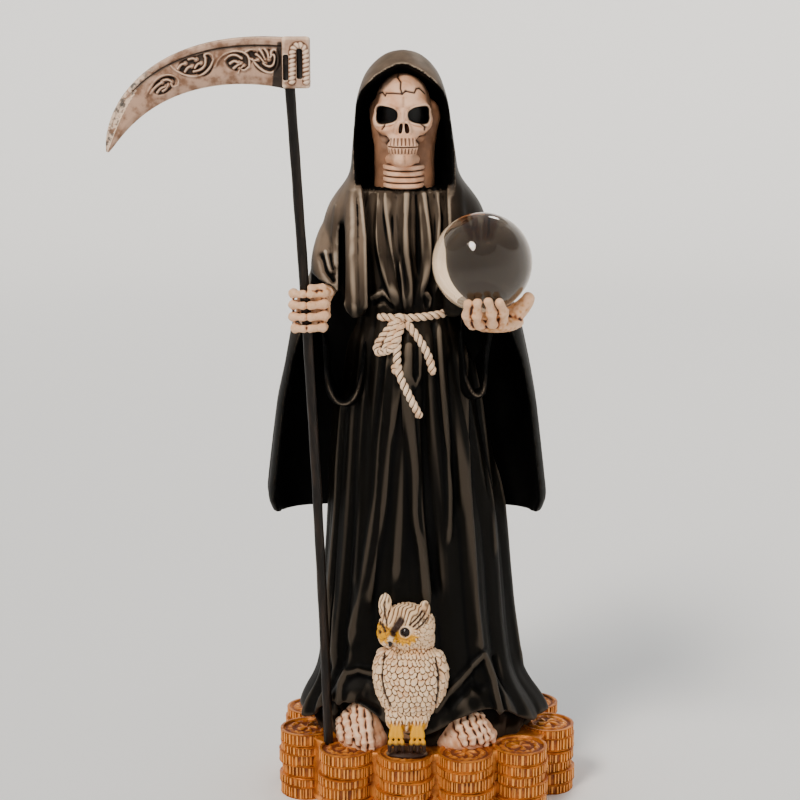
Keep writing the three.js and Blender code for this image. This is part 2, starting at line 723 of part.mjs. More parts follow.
const bladeWidth = (t) => BLADE_WIDTH * (1 - 0.34 * t ** 0.7) * (1 - t ** 3.6) ** 0.75 + 0.6;
const bladeThickness = (t) => BLADE_BACK * mix(1, 0.45, t ** 1.5);

// Half a cross section of the blade: place across it from the back to the inner edge, and height.
const BLADE_SECTION = [
  [-0.5, 0.36],
  [-0.34, 0.5],
  [-0.27, 0.34],
  [0.2, 0.28],
  [0.5, 0.06],
];

function bladePoint(t, across, out) {
  const line = bladeLine();
  const along = line.getTangent(t);
  const inward = v3(-along.z, 0, along.x);
  return line.getPoint(t).addScaledVector(inward, across * bladeWidth(t)).add(v3(0, out, 0));
}

function blade() {
  const steps = 11;
  const rings = Array.from({ length: steps + 1 }, (_, i) => {
    const t = mix(0, 0.995, (i / steps) ** 0.9);
    const face = BLADE_SECTION.map(([across, out]) => [across, out * bladeThickness(t)]);
    const front = face.map(([across, out]) => bladePoint(t, across, -out));
    const back = face.toReversed().map(([across, out]) => bladePoint(t, across, out));
    return [...front, ...back];
  });
  return solid(skin(rings));
}

// Scrolls in relief, on the front face of the blade and fewer on its back.
const SCROLLS = [
  // place along the blade, size as a share of the blade's width, turn, faces
  [0.19, 0.28, 1, [-1, 1]],
  [0.37, 0.28, -1, [-1]],
  [0.54, 0.27, 1, [-1, 1]],
  [0.7, 0.24, -1, [-1]],
];
const SCROLL_POINTS = 7;

function scroll(t, share, turn, face) {
  const centre = bladePoint(t, 0.06, face * 0.3 * bladeThickness(t));
  const points = Array.from({ length: SCROLL_POINTS }, (_, i) => {
    const angle = turn * (i / (SCROLL_POINTS - 1)) * 1.8 * Math.PI + Math.PI / 2;
    const reach = share * bladeWidth(t) * (1 - 0.1 * i);
    return centre.clone().add(v3(reach * Math.cos(angle), 0, reach * Math.sin(angle)));
  });
  return solid(limb(points, points.map((_, i) => 1.2 - 0.05 * i), 4));
}

function scrolls() {
  const onFaces = ([t, share, turn, faces]) => faces.map((face) => scroll(t, share, turn, face));
  return joined(SCROLLS.flatMap(onFaces));
}

// The block that joins blade and shaft, with a sunk panel inside a corded arch on both faces.
function scytheHead() {
  const low = shaftAt(headBottom());
  const middle = v3(low.x + 0.24 * HEAD_WIDTH, low.y, low.z + HEAD_HEIGHT / 2);
  const block = new THREE.BoxGeometry(HEAD_WIDTH, HEAD_THICKNESS, HEAD_HEIGHT);
  block.translate(middle.x, middle.y, middle.z);
  const parts = [solid(block), blade(), scrolls()];
  const cuts = [shaftSolid(HEAD_CLEARANCE)];
  for (const face of [-1, 1]) {
    const faceY = middle.y + (face * HEAD_THICKNESS) / 2;
    const at = (x, z) => v3(middle.x + x * HEAD_WIDTH, faceY, middle.z + z * HEAD_HEIGHT);
    const panel = new THREE.BoxGeometry(0.22 * HEAD_WIDTH, 1.6, 0.6 * HEAD_HEIGHT);
    const centre = at(0.1, -0.04);
    panel.translate(centre.x, centre.y, centre.z);
    cuts.push(solid(panel));
    const arch = Array.from({ length: 5 }, (_, i) => {
      const angle = (Math.PI * i) / 4;
      return at(0.1 + 0.26 * Math.cos(angle), 0.26 + 0.13 * Math.sin(angle));
    });
    const border = [at(0.36, -0.42), ...arch, at(-0.16, -0.42)];
    parts.push(solid(limb(border, border.map(() => 0.09 * HEAD_WIDTH), 4)));
  }
  return joined(parts).subtract(joined(cuts));
}

// Glass ball

const ballCentre = () => onGrid(26, -60, 237.6).add(v3(0, 0, BALL_RADIUS));

function ballSolid(clearance = 0) {
  const ball = new THREE.IcosahedronGeometry(BALL_RADIUS + clearance, BALL_DETAIL);
  const { x, y, z } = ballCentre();
  ball.translate(x, y, z);
  return solid(ball);
}

function casting() {
  const robe = joined([cape(), ...ARMS.map(sleeve)]).subtract(joined(ARMS.map(crease)));
  const parts = [robe, gown(), skull(), neck(), rope(), base(), foot(-35, -3), foot(21, 5), owl()];
  const body = joined(parts).subtract(shaftSolid(SHAFT_CLEARANCE)).subtract(ballSolid(BALL_CLEARANCE));
  return joined([body, fist(), openHand()]);
}

const MATERIALS = {
  blackPaint: new THREE.MeshStandardMaterial({ color: 0x1b1914, roughness: 0.42, metalness: 0 }),
  shaftPaint: new THREE.MeshStandardMaterial({ color: 0x2a2018, roughness: 0.5, metalness: 0 }),
  bonePaint: new THREE.MeshStandardMaterial({ color: 0xb59a80, roughness: 0.6, metalness: 0 }),
  clearGlass: new THREE.MeshStandardMaterial({
    color: 0xf4efe8,
    roughness: 0.02,
    transparent: true,
    opacity: 0.35,
  }),
};

function piece(name, body, material) {
  const mesh = new THREE.Mesh(geometryOf(body), material);
  mesh.name = name;
  return mesh;
}

const figure = new THREE.Group();
figure.add(
  piece("cast_figure", casting(), MATERIALS.blackPaint),
  piece("scythe_shaft", shaftSolid(), MATERIALS.shaftPaint),
  piece("scythe_head", scytheHead(), MATERIALS.bonePaint),
  piece("glass_ball", ballSolid(), MATERIALS.clearGlass),
);

export default figure;
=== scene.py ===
"""A cast resin figure of a hooded skeleton with a scythe, a glass ball and an owl, on its CAD frame.

The pieces are drawn in millimetres, with the same tables as the part, and put in the frame in metres.
"""

import math

import bpy
import numpy as np
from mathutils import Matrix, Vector


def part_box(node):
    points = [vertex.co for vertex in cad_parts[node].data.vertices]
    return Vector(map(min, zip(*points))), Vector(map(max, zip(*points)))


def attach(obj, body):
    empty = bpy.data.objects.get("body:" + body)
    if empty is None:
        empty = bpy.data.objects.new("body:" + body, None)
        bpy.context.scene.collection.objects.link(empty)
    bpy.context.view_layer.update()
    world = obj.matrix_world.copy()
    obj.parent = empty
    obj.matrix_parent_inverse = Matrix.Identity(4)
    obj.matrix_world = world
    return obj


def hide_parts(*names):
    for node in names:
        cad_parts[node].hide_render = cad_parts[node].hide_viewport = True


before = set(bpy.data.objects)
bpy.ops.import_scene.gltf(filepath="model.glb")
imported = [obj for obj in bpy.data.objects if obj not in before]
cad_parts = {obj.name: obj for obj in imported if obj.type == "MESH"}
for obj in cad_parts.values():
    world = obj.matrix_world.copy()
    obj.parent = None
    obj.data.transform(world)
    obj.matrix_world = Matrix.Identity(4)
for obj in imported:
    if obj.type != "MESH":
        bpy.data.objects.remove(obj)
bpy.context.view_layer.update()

MM = 0.001
TAU = 2 * math.pi

# Places in the frame and levels of the part, in millimetres
FIGURE_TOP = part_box("cast_figure")[1].z / MM
GROUND = 36.0
UNIT = (FIGURE_TOP - GROUND) / 368
COIN_TOP = 37.2
BALL_LOW, BALL_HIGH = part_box("glass_ball")
BALL_CENTRE = np.array((BALL_LOW + BALL_HIGH) / 2) / MM
BALL_RADIUS = (BALL_HIGH.z - BALL_LOW.z) / 2 / MM


# Numbers


def smooth(t):
    """0 below 0, 1 above 1, with an even slope between."""
    t = np.clip(t, 0, 1)
    return t * t * (3 - 2 * t)


def mix(a, b, t):
    return a + (b - a) * t


def between(rows, key, soft=0.0):
    """Each column of a table at the keys, its corners rounded over a soft distance."""
    rows = np.asarray(rows, float)
    key = np.asarray(key, float)
    columns = []
    for column in rows.T[1:]:
        reads = [np.interp(key + soft * shift, rows[:, 0], column) for shift in (-1, -0.5, 0, 0.5, 1)]
        columns.append(sum(reads) / len(reads))
    return columns


def bump(x, z, centre, size, power=2.0):
    """A soft round form in a plane: 1 in its middle and 0 well outside."""
    far = np.abs((x - centre[0]) / size[0]) ** power + np.abs((z - centre[1]) / size[1]) ** power
    return np.exp(-far)


def stroke(x, z, path, width):
    """How near points in a plane are to a drawn line: 1 on it, falling to 0 past its width."""
    nearest = np.full(np.shape(x), 1e9)
    for (x0, z0), (x1, z1) in zip(path, path[1:]):
        dx = x1 - x0
        dz = z1 - z0
        t = np.clip(((x - x0) * dx + (z - z0) * dz) / (dx * dx + dz * dz), 0, 1)
        nearest = np.minimum(nearest, np.hypot(x - x0 - t * dx, z - z0 - t * dz))
    return np.exp(-((nearest / width) ** 2))


def line_work(x, z, lines):
    """The lines of a table at points in a plane: each has a width, a height and a path."""
    return sum(height * stroke(x, z, path, width) for width, height, path in lines)


def rounded(path):
    """A drawn line with its corners cut off twice."""
    path = [np.array(place, float) for place in path]
    for _ in range(2):
        inner = [mix(a, b, share) for a, b in zip(path, path[1:]) for share in (0.25, 0.75)]
        path = [path[0], *inner, path[-1]]
    return path


def grain(points, size, seed):
    """Even waves in three directions that never line up, from -1 to 1."""
    x, y, z = points.T / size
    total = 0
    for k in range(4):
        turn = 1.3 * k + seed
        a = x * math.cos(turn) + y * math.sin(turn) + 0.6 * z * math.sin(2 * turn)
        b = z * math.cos(turn) - x * math.sin(turn) + 0.7 * y * math.cos(3 * turn)
        total = total + np.sin(a * (1 + 0.31 * k) + 2.1 * k + seed) * np.cos(b * (1.2 - 0.17 * k) + seed)
    return total / 3


def scatter(row, column):
    """A number from 0 to 1 for each cell, always the same."""
    return np.abs(np.sin(12.9898 * row + 78.233 * column) * 43758.5453) % 1


def on_grid(x, y, z):
    """A place on the figure's own grid, which starts at the ground inside the coins."""
    return np.array([x * UNIT, y * UNIT, GROUND + z * UNIT])


def grid_height(z):
    """A height in millimetres as a height on that grid."""
    return (z - GROUND) / UNIT


# Mesh steps


def deselect():
    bpy.ops.object.select_all(action="DESELECT")


def pick(obj):
    deselect()
    obj.select_set(True)
    bpy.context.view_layer.objects.active = obj
    return obj


def named(name):
    obj = bpy.context.object
    obj.name = name
    obj.data.name = name
    return obj


def read(layer, key, width):
    """The numbers of a mesh layer, with one row for each vertex."""
    flat = np.empty(len(layer) * width, np.float32)
    layer.foreach_get(key, flat)
    return flat.reshape(-1, width).astype(float)


def read_points(obj):
    return read(obj.data.vertices, "co", 3)


def normals_of(obj):
    return read(obj.data.vertices, "normal", 3)


def read_mark(obj, name):
    return read(obj.data.attributes[name].data, "value", 1)[:, 0]


def write_points(obj, points):
    obj.data.vertices.foreach_set("co", points.astype(np.float32).ravel())
    obj.data.update()


def move(obj, change):
    """Moves the vertices of a mesh: change gets their places in millimetres and gives the new ones."""
    write_points(obj, change(read_points(obj) / MM) * MM)
    return obj


def swell(obj, height):
    """Moves each vertex along its normal by height(points, normals) millimetres."""
    normals = normals_of(obj)
    return move(obj, lambda points: points + normals * height(points, normals)[:, None])


def modify(obj, kind, **settings):
    """Adds a modifier and applies it."""
    pick(obj)
    step = obj.modifiers.new(kind.title(), kind)
    for key, value in settings.items():
        setattr(step, key, value)
    bpy.ops.object.modifier_apply(modifier=step.name)
    return obj


def join(objects, name):
    deselect()
    for obj in objects:
        obj.select_set(True)
    bpy.context.view_layer.objects.active = objects[0]
    bpy.ops.object.join()
    return named(name)


def cut(obj, tools):
    for tool in tools:
        modify(obj, "BOOLEAN", operation="DIFFERENCE", object=tool, solver="MANIFOLD")
        bpy.data.objects.remove(tool)
    return obj


def melt(objects, name, cell, rounds):
    """Runs pieces together into one skin of even cells, as a casting is, and eases it."""
    obj = join(objects, name)
    modify(obj, "REMESH", mode="VOXEL", voxel_size=cell * MM, adaptivity=0)
    return modify(obj, "SMOOTH", factor=0.5, iterations=rounds)


def settle(obj):
    pick(obj)
    bpy.ops.object.transform_apply(location=True, rotation=True, scale=True)
    bpy.ops.object.shade_smooth()
    return obj


def skin(name, across, along, shape):
    """A closed form from a grid: shape gets u, once round, and v, from pole to pole, and gives places."""
    deselect()
    bpy.ops.mesh.primitive_grid_add(x_subdivisions=across, y_subdivisions=along, size=2)
    obj = named(name)
    flat = read_points(obj)
    u = (flat[:, 0] + 1) / 2
    v = (flat[:, 1] + 1) / 2
    write_points(obj, np.stack(shape(u, v), axis=1) * MM)
    bpy.ops.object.mode_set(mode="EDIT")
    bpy.ops.mesh.select_all(action="SELECT")
    bpy.ops.mesh.remove_doubles(threshold=0.00001)
    bpy.ops.mesh.normals_make_consistent(inside=False)
    bpy.ops.object.mode_set(mode="OBJECT")
    return obj


def open_ends(v, end):
    """For a skin with flat ends: the share of the way along it, and how far its ring is open there."""
    return np.clip((v - end) / (1 - 2 * end), 0, 1), np.clip(np.minimum(v, 1 - v) / end, 0, 1)


def bevelled_block(name, centre, size, edge, segments):
    """A block with rounded edges."""
    deselect()
    bpy.ops.mesh.primitive_cube_add(size=1, location=[c * MM for c in centre])
    obj = named(name)
    obj.scale = [c * MM for c in size]
    return modify(settle(obj), "BEVEL", width=edge * MM, segments=segments)


def egg(name, centre, half, turn=0.0, across=48, along=32):
    """An egg with its own half widths, turned about Z in degrees."""
    deselect()
    bpy.ops.mesh.primitive_uv_sphere_add(segments=across, ring_count=along, radius=1)
    obj = named(name)
    c = math.cos(math.radians(turn))
    s = math.sin(math.radians(turn))

    def place(points):
        x, y, z = (points * MM * np.array(half)).T
        return np.stack([x * c - y * s + centre[0], x * s + y * c + centre[1], z + centre[2]], axis=1)

    return move(obj, place)


def frames_along(line):
    """Points, directions and side directions along a smooth curve through a few places."""
    line = np.asarray(line, float)
    steps = np.concatenate([[0], np.cumsum(np.linalg.norm(np.diff(line, axis=0), axis=1))])
    reach = steps[-1]
    soft = 0.45 * reach / (len(line) - 1)
    keys = np.linspace(0, reach, 120)
    inner = np.minimum(soft, np.minimum(keys, reach - keys))
    path = np.stack([between(np.column_stack([steps, line]), keys, inner)[k] for k in range(3)], axis=1)
    along = np.gradient(path, axis=0)
    along /= np.linalg.norm(along, axis=1)[:, None]
    side = np.empty_like(along)
    guide = np.array([0.0, 1.0, 0.0]) if abs(along[0, 2]) > 0.8 else np.array([0.0, 0.0, 1.0])
    for i, direction in enumerate(along):
        guide = guide - direction * guide.dot(direction)
        guide /= np.linalg.norm(guide)
        side[i] = guide
    return keys / reach, path, along, side, reach


def tube(name, line, radii, across, along, wave=None, squash=1.0):
    """A round form with rounded ends. wave(turn, distance) scales its radius, and squash one width."""
    keys, path, directions, sides, reach = frames_along(line)
    radii = np.asarray(radii, float)
    at_radii = np.linspace(0, 1, len(radii))

    def shape(u, v):
        share = 0.5 - 0.5 * np.cos(math.pi * v)
        share = mix(share, v, 0.6)
        radius = np.interp(share, at_radii, radii)
        for gap, end in ((share, radii[0]), (1 - share, radii[-1])):
            cap = min(0.45, end / reach)
            radius = radius * np.sqrt(np.clip(1 - (1 - np.clip(gap / cap, 0, 1)) ** 2, 0, 1))
        turn = TAU * u
        if wave is not None:
            radius = radius * wave(turn, share * reach)
        places = []
        for k in range(3):
            point = np.interp(share, keys, path[:, k])
            side = np.interp(share, keys, sides[:, k])
            other = np.interp(share, keys, np.cross(directions, sides)[:, k])
            places.append(point + radius * (squash * np.cos(turn) * side + np.sin(turn) * other))
        return places

    return skin(name, across, along, shape)


def mark(obj, name, values):
    """Stores one number for each vertex, for the paints to read."""
    layer = obj.data.attributes.get(name) or obj.data.attributes.new(name, "FLOAT", "POINT")
    layer.data.foreach_set("value", np.clip(values, 0, 1).astype(np.float32))


def mark_hollows(obj, rounds, gain):
    """Marks each vertex as hollow: 1 in a groove, 0 on a crest and a half where the surface is even."""
    mesh = obj.data
    ends = np.empty(len(mesh.edges) * 2, np.int64)
    mesh.edges.foreach_get("vertices", ends)
    first, second = ends.reshape(-1, 2).T
    count = len(mesh.vertices)
    degree = np.bincount(first, minlength=count) + np.bincount(second, minlength=count)
    degree = np.maximum(degree, 1)

    def average(values):
        total = np.bincount(first, values[second], count) + np.bincount(second, values[first], count)
        return 0.5 * values + 0.5 * total / degree

    points = read_points(obj) / MM
    eased = points.copy()
    for _ in range(rounds):
        eased = np.stack([average(column) for column in eased.T], axis=1)
    proud = ((points - eased) * normals_of(obj)).sum(axis=1)
    mark(obj, "hollow", average(0.5 - gain * proud))
    return obj


# A finely worked piece has more triangles than this, and keeps a share of them
FINE_PIECE = 30000
KEPT_SHARE = 0.56


def thin(obj):
    """Collapses the edges that a finely worked skin can spare."""
    mesh = obj.data
    if len(mesh.loops) - 2 * len(mesh.polygons) > FINE_PIECE:
        modify(obj, "DECIMATE", ratio=KEPT_SHARE)
    return obj


def dress(obj, paint, node="cast_figure"):
    """Gives a finished piece its paint and its place in the frame, and hides the solid that it stands for.
    """
    settle(thin(obj))
    obj.data.materials.clear()
    obj.data.materials.append(paint)
    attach(obj, "root")
    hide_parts(node)
    return obj


# Paints


def tone(red, green, blue):
    """A colour given as 0 to 255 on a screen, as the renderer's own linear values."""
    parts = [c / 255 for c in (red, green, blue)]
    line = [p / 12.92 if p <= 0.04045 else ((p + 0.055) / 1.055) ** 2.4 for p in parts]
    return (*line, 1.0)


class Amount:
    """A number that varies over a surface. Python's operators add the Math nodes."""

    def __init__(self, paint, socket):
        self.paint = paint
        self.socket = socket

    def maths(self, operation, *values):
        node = self.paint.node("ShaderNodeMath", {"operation": operation}, values)
        return Amount(self.paint, node.outputs[0])

    def __add__(self, other):
        return self.maths("ADD", self, other)

    __radd__ = __add__

    def __mul__(self, other):
        return self.maths("MULTIPLY", self, other)

    __rmul__ = __mul__

    def __sub__(self, other):
        return self.maths("SUBTRACT", self, other)

    def __rsub__(self, other):
        return self.maths("SUBTRACT", other, self)

    def above(self, low, high):
        """0 under low and 1 over high."""
        settings = {"interpolation_type": "SMOOTHSTEP"}
        node = self.paint.node("ShaderNodeMapRange", settings, [self, low, high, 0.0, 1.0])
        return Amount(self.paint, node.outputs[0])


class Paint:
    """One material, built from nodes."""

    def __init__(self, name, **values):
        self.material = bpy.data.materials.new(name)
        self.material.use_nodes = True
        self.tree = self.material.node_tree
        self.shader = self.tree.nodes["Principled BSDF"]
        for socket, value in values.items():
            self.shader.inputs[socket.replace("_", " ")].default_value = value
        self.place = self.node("ShaderNodeTexCoord", {}, []).outputs["Object"]

    def node(self, kind, settings, values):
        """Adds a node, sets it up and fills its sockets in order, or by name from a dictionary."""
        node = self.tree.nodes.new(kind)
        for key, value in settings.items():
            setattr(node, key, value)
        pairs = values.items() if isinstance(values, dict) else enumerate(values)
        for key, value in pairs:
            self.fill(node.inputs[key], value)
        return node

    def fill(self, socket, value):
        if isinstance(value, Amount):
            value = value.socket
        if isinstance(value, bpy.types.NodeSocket):
            self.tree.links.new(value, socket)
        else:
            socket.default_value = value

    def attribute(self, name):
        node = self.node("ShaderNodeAttribute", {"attribute_name": name}, [])
        return Amount(self, node.outputs["Fac"])

    def noise(self, size, detail, stretch=(1, 1, 1)):
        """Mottling whose blotches are about size millimetres."""
        scale = [1 / s for s in stretch]
        vector = self.node("ShaderNodeMapping", {}, {"Vector": self.place, "Scale": scale}).outputs[0]
        values = {"Vector": vector, "Scale": 1 / (size * MM), "Detail": detail}
        return Amount(self, self.node("ShaderNodeTexNoise", {}, values).outputs["Fac"])

    def blend(self, first, second, factor):
        values = {0: factor, 6: first, 7: second}
        node = self.node("ShaderNodeMix", {"data_type": "RGBA"}, values)
        return node.outputs[2]

    def finish(self, colour, roughness, relief, depth, metallic=0.0):
        """Fills the shader. The relief is depth millimetres deep."""
        values = {"Strength": 1.0, "Distance": depth * MM, "Height": relief}
        normal = self.node("ShaderNodeBump", {}, values).outputs[0]
        filled = {"Base Color": colour, "Roughness": roughness, "Metallic": metallic, "Normal": normal}
        for name, value in filled.items():
            self.fill(self.shader.inputs[name], value)
        return self.material


def robe_paint():
    """Near-black satin paint, with a painted warm brown-grey sheen where the cloth faces the light, painted
    highlights on its crests and painted shade in its grooves and hollows.
    """
    paint = Paint("robe_paint", Specular_IOR_Level=0.07)
    hollow = paint.attribute("hollow")
    worn = paint.attribute("worn")
    cloudy = paint.noise(30, 3)
    streaks = paint.noise(5, 3, stretch=(1, 1, 6))
    crest = (1 - hollow).above(0.57, 0.8)
    black = paint.blend(tone(3, 3, 2), tone(8, 6, 3), cloudy)
    # Painted sheen: warm brown-grey where the worn mark says the cloth faces up, forward and to the left,
    # into the light
    painted_sheen = paint.blend(black, tone(146, 126, 108), worn * worn * (0.3 + streaks * 0.6))
    # Painted highlights on the crests, strongest where they face the light
    crest_highlight = paint.blend(painted_sheen, tone(186, 168, 148), crest * (worn + 0.02))
    # Painted shade: grooves and the marked insides of the robe go near pure black
    shade = paint.blend(crest_highlight, tone(1, 1, 1), hollow.above(0.53, 0.68))
    fine = paint.noise(0.6, 2) * 0.5 + paint.noise(2.6, 3)
    return paint.finish(shade, 0.4 + cloudy * 0.12 + hollow.above(0.6, 0.9) * 0.3, fine, 0.05)


def bone_paint():
    """Pinkish beige with a brown wash left in every groove, and black sockets."""
    paint = Paint("bone_paint", Specular_IOR_Level=0.3)
    hollow = paint.attribute("hollow") + (paint.noise(3, 4) - 0.5) * 0.2
    wash = hollow.above(0.5, 0.72)
    deep = hollow.above(0.64, 0.92)
    bone = paint.blend(tone(243, 196, 164), tone(222, 164, 126), paint.noise(7, 4).above(0.35, 0.7))
    old = paint.attribute("aged")
    aged = paint.blend(bone, tone(200, 140, 78), old * (0.42 + paint.noise(2.2, 5).above(0.42, 0.66) * 0.5))
    crest = paint.blend(aged, tone(250, 216, 184), (1 - hollow).above(0.53, 0.75) * (0.7 - old * 0.3))
    stained = paint.blend(crest, tone(146, 84, 46), wash * 0.9)
    dark = paint.blend(stained, tone(58, 28, 14), deep)
    tan = paint.blend(dark, tone(112, 74, 48), paint.attribute("tan") * (1.1 - paint.noise(7, 4) * 0.5))
    drawn = paint.blend(tan, tone(46, 21, 10), paint.attribute("stain_and_shade"))
    colour = paint.blend(drawn, tone(3, 2, 2), paint.attribute("black"))
    return paint.finish(colour, 0.48 + wash * 0.14, paint.noise(0.8, 4), 0.12)


def owl_paint():
    """Cream with a brown wash between the feathers, a yellow face and yellow feet."""
    paint = Paint("owl_paint", Specular_IOR_Level=0.3)
    hollow = paint.attribute("hollow") + (paint.noise(2.2, 4) - 0.5) * 0.16
    wash = hollow.above(0.51, 0.7)
    deep = hollow.above(0.66, 0.9)
    cream = paint.blend(tone(242, 206, 164), tone(220, 174, 130), paint.noise(6, 3).above(0.4, 0.7))
    crest = paint.blend(cream, tone(250, 226, 198), (1 - hollow).above(0.54, 0.75) * 0.6)
    yellow = paint.blend(crest, tone(226, 160, 0), paint.attribute("yellow"))
    washed = paint.blend(yellow, tone(150, 100, 62), wash * 0.9)
    brown = paint.blend(washed, tone(74, 42, 22), deep)
    drawn = paint.blend(brown, tone(44, 22, 9), paint.attribute("stain_and_shade"))
    colour = paint.blend(drawn, tone(22, 8, 4), paint.attribute("dark"))
    return paint.finish(colour, 0.55 - paint.attribute("dark") * 0.4, paint.noise(0.7, 3), 0.1)


def rope_paint():
    """Cream cord with brown in the lay of its strands."""
    paint = Paint("rope_paint", Specular_IOR_Level=0.25)
    hollow = paint.attribute("hollow") + (paint.noise(2, 3) - 0.5) * 0.12
    cream = paint.blend(tone(246, 218, 188), tone(222, 180, 142), paint.noise(4, 3).above(0.4, 0.7))
    washed = paint.blend(cream, tone(150, 104, 68), hollow.above(0.48, 0.64))
    colour = paint.blend(washed, tone(30, 17, 9), hollow.above(0.6, 0.76))
    return paint.finish(colour, 0.58, paint.noise(0.5, 3), 0.1)


def gold_paint():
    """Orange-brown antique gold, bright on its edges and dark red-brown in its grooves."""
    paint = Paint("gold_paint", Specular_IOR_Level=0.45)
    patchy = paint.noise(5, 4)
    hollow = paint.attribute("hollow") + (patchy - 0.5) * 0.26
    gold = paint.blend(tone(206, 124, 40), tone(160, 84, 16), patchy.above(0.38, 0.66))
    bright = paint.blend(gold, tone(238, 160, 74), (1 - hollow).above(0.54, 0.8))
    colour = paint.blend(bright, tone(108, 50, 12), hollow.above(0.54, 0.84))
    metallic = 0.45 - hollow.above(0.5, 0.8) * 0.35
    return paint.finish(colour, 0.42 + hollow.above(0.5, 0.9) * 0.25, paint.noise(0.9, 4), 0.14, metallic)


def shaft_paint():
    """Dark brown wood paint with long streaks."""
    paint = Paint("shaft_paint", Specular_IOR_Level=0.22)
    streaks = paint.noise(3, 4, stretch=(1, 1, 9))
    colour = paint.blend(tone(16, 11, 8), tone(44, 33, 25), streaks.above(0.42, 0.75))
    return paint.finish(colour, 0.44, streaks, 0.25)


def blade_paint():
    """Aged bone: tan with a dark wash in the carving and pale worn edges."""
    paint = Paint("blade_paint", Specular_IOR_Level=0.3)
    patchy = paint.noise(5, 5)
    hollow = paint.attribute("hollow") + (patchy - 0.5) * 0.2
    tan = paint.blend(tone(184, 150, 128), tone(128, 94, 72), patchy.above(0.4, 0.68))
    pale = paint.blend(tan, tone(240, 210, 184), (1 - hollow).above(0.53, 0.74))
    bevel = paint.attribute("worn")
    worn = paint.blend(pale, tone(226, 200, 178), bevel * paint.noise(2.4, 5).above(0.4, 0.5))
    spots = paint.blend(worn, tone(104, 98, 92), bevel * paint.noise(3, 5).above(0.5, 0.62))
    washed = paint.blend(spots, tone(112, 78, 56), hollow.above(0.5, 0.62))
    deep = paint.blend(washed, tone(34, 20, 14), hollow.above(0.6, 0.8))
    # The stain mark holds the dark wash and stains, and also a painted shadow at the blade's root
    colour = paint.blend(deep, tone(20, 12, 8), paint.attribute("stain_and_shade"))
    return paint.finish(colour, 0.5, paint.noise(1.1, 4), 0.16)


def clear_glass():
    """Clear glass with a faint smoky warm tint, painted to stand in for the warm surroundings seen through
    it.
    """
    paint = Paint("clear_glass", Roughness=0.0, IOR=1.5, Transmission_Weight=1.0)
    paint.shader.inputs["Base Color"].default_value = tone(240, 210, 176)
    return paint.material


# Gown

SWAY = [[0, -1.4], [59, -5.6], [118, -6.3], [183, -11], [300, -12.6], [350, -14.2], [368, -13.6]]
WAIST = 230
COLLAR = 297.4
SKIRT_HEM = 9
GOWN_SHAPE = [
    # height, half width, front, back
    [8, 66, 47, 57],
    [18, 62, 46, 54],
    [28, 55, 44, 50],
    [40, 51.5, 42.5, 47],
    [59, 50, 41, 44],
    [119, 45.8, 36.5, 38],
    [179, 38.5, 31.5, 33],
    [216, 33, 28, 30],
    [WAIST, 29, 23.5, 28],
    [242, 31, 25, 29],
    [269, 32, 25.5, 29],
    [290, 28, 19.5, 26],
    [COLLAR, 23, 13.5, 22],
]
GOWN_FOLDS = [
    # crest at the collar, at the waist and at the hem in degrees, height on the chest and at the hem
    [-160, -158, -162, 1, 5],
    [-128, -122, -126, 1, 5.4],
    [-100, -90, -97, 1.2, 5],
    [-78, -64, -73, 1, 5.2],
    [-60, -43, -57, 0.9, 3.2],
    [-41, -24, -44, 0.9, 4.2],
    [-21, -10, -17, 1, 2.4],
    [1, 2, 7, 1, 3],
    [23, 17, 21, 1, 2.4],
    [42, 34, 42, 1, 4.2],
    [60, 56, 60, 1, 3.2],
    [84, 82, 86, 1.2, 5],
    [116, 116, 118, 1, 5],
    [152, 150, 153, 1, 5.6],
]
GOWN_PATH = [
    # share of the way, height, inset, how far the ring is open
    [0, -3, 12, 0],
    [0.012, -3, 12, 1],
    [0.04, SKIRT_HEM + 2, 6, 1],
    [0.05, SKIRT_HEM + 0.4, 2.8, 1],
    [0.056, SKIRT_HEM - 0.6, 1.4, 1],
    [0.064, SKIRT_HEM - 0.3, 0.3, 1],
    [0.072, SKIRT_HEM + 1, 0, 1],
    [0.985, COLLAR, 0, 1],
    [1, COLLAR + 1, 0, 0],
]
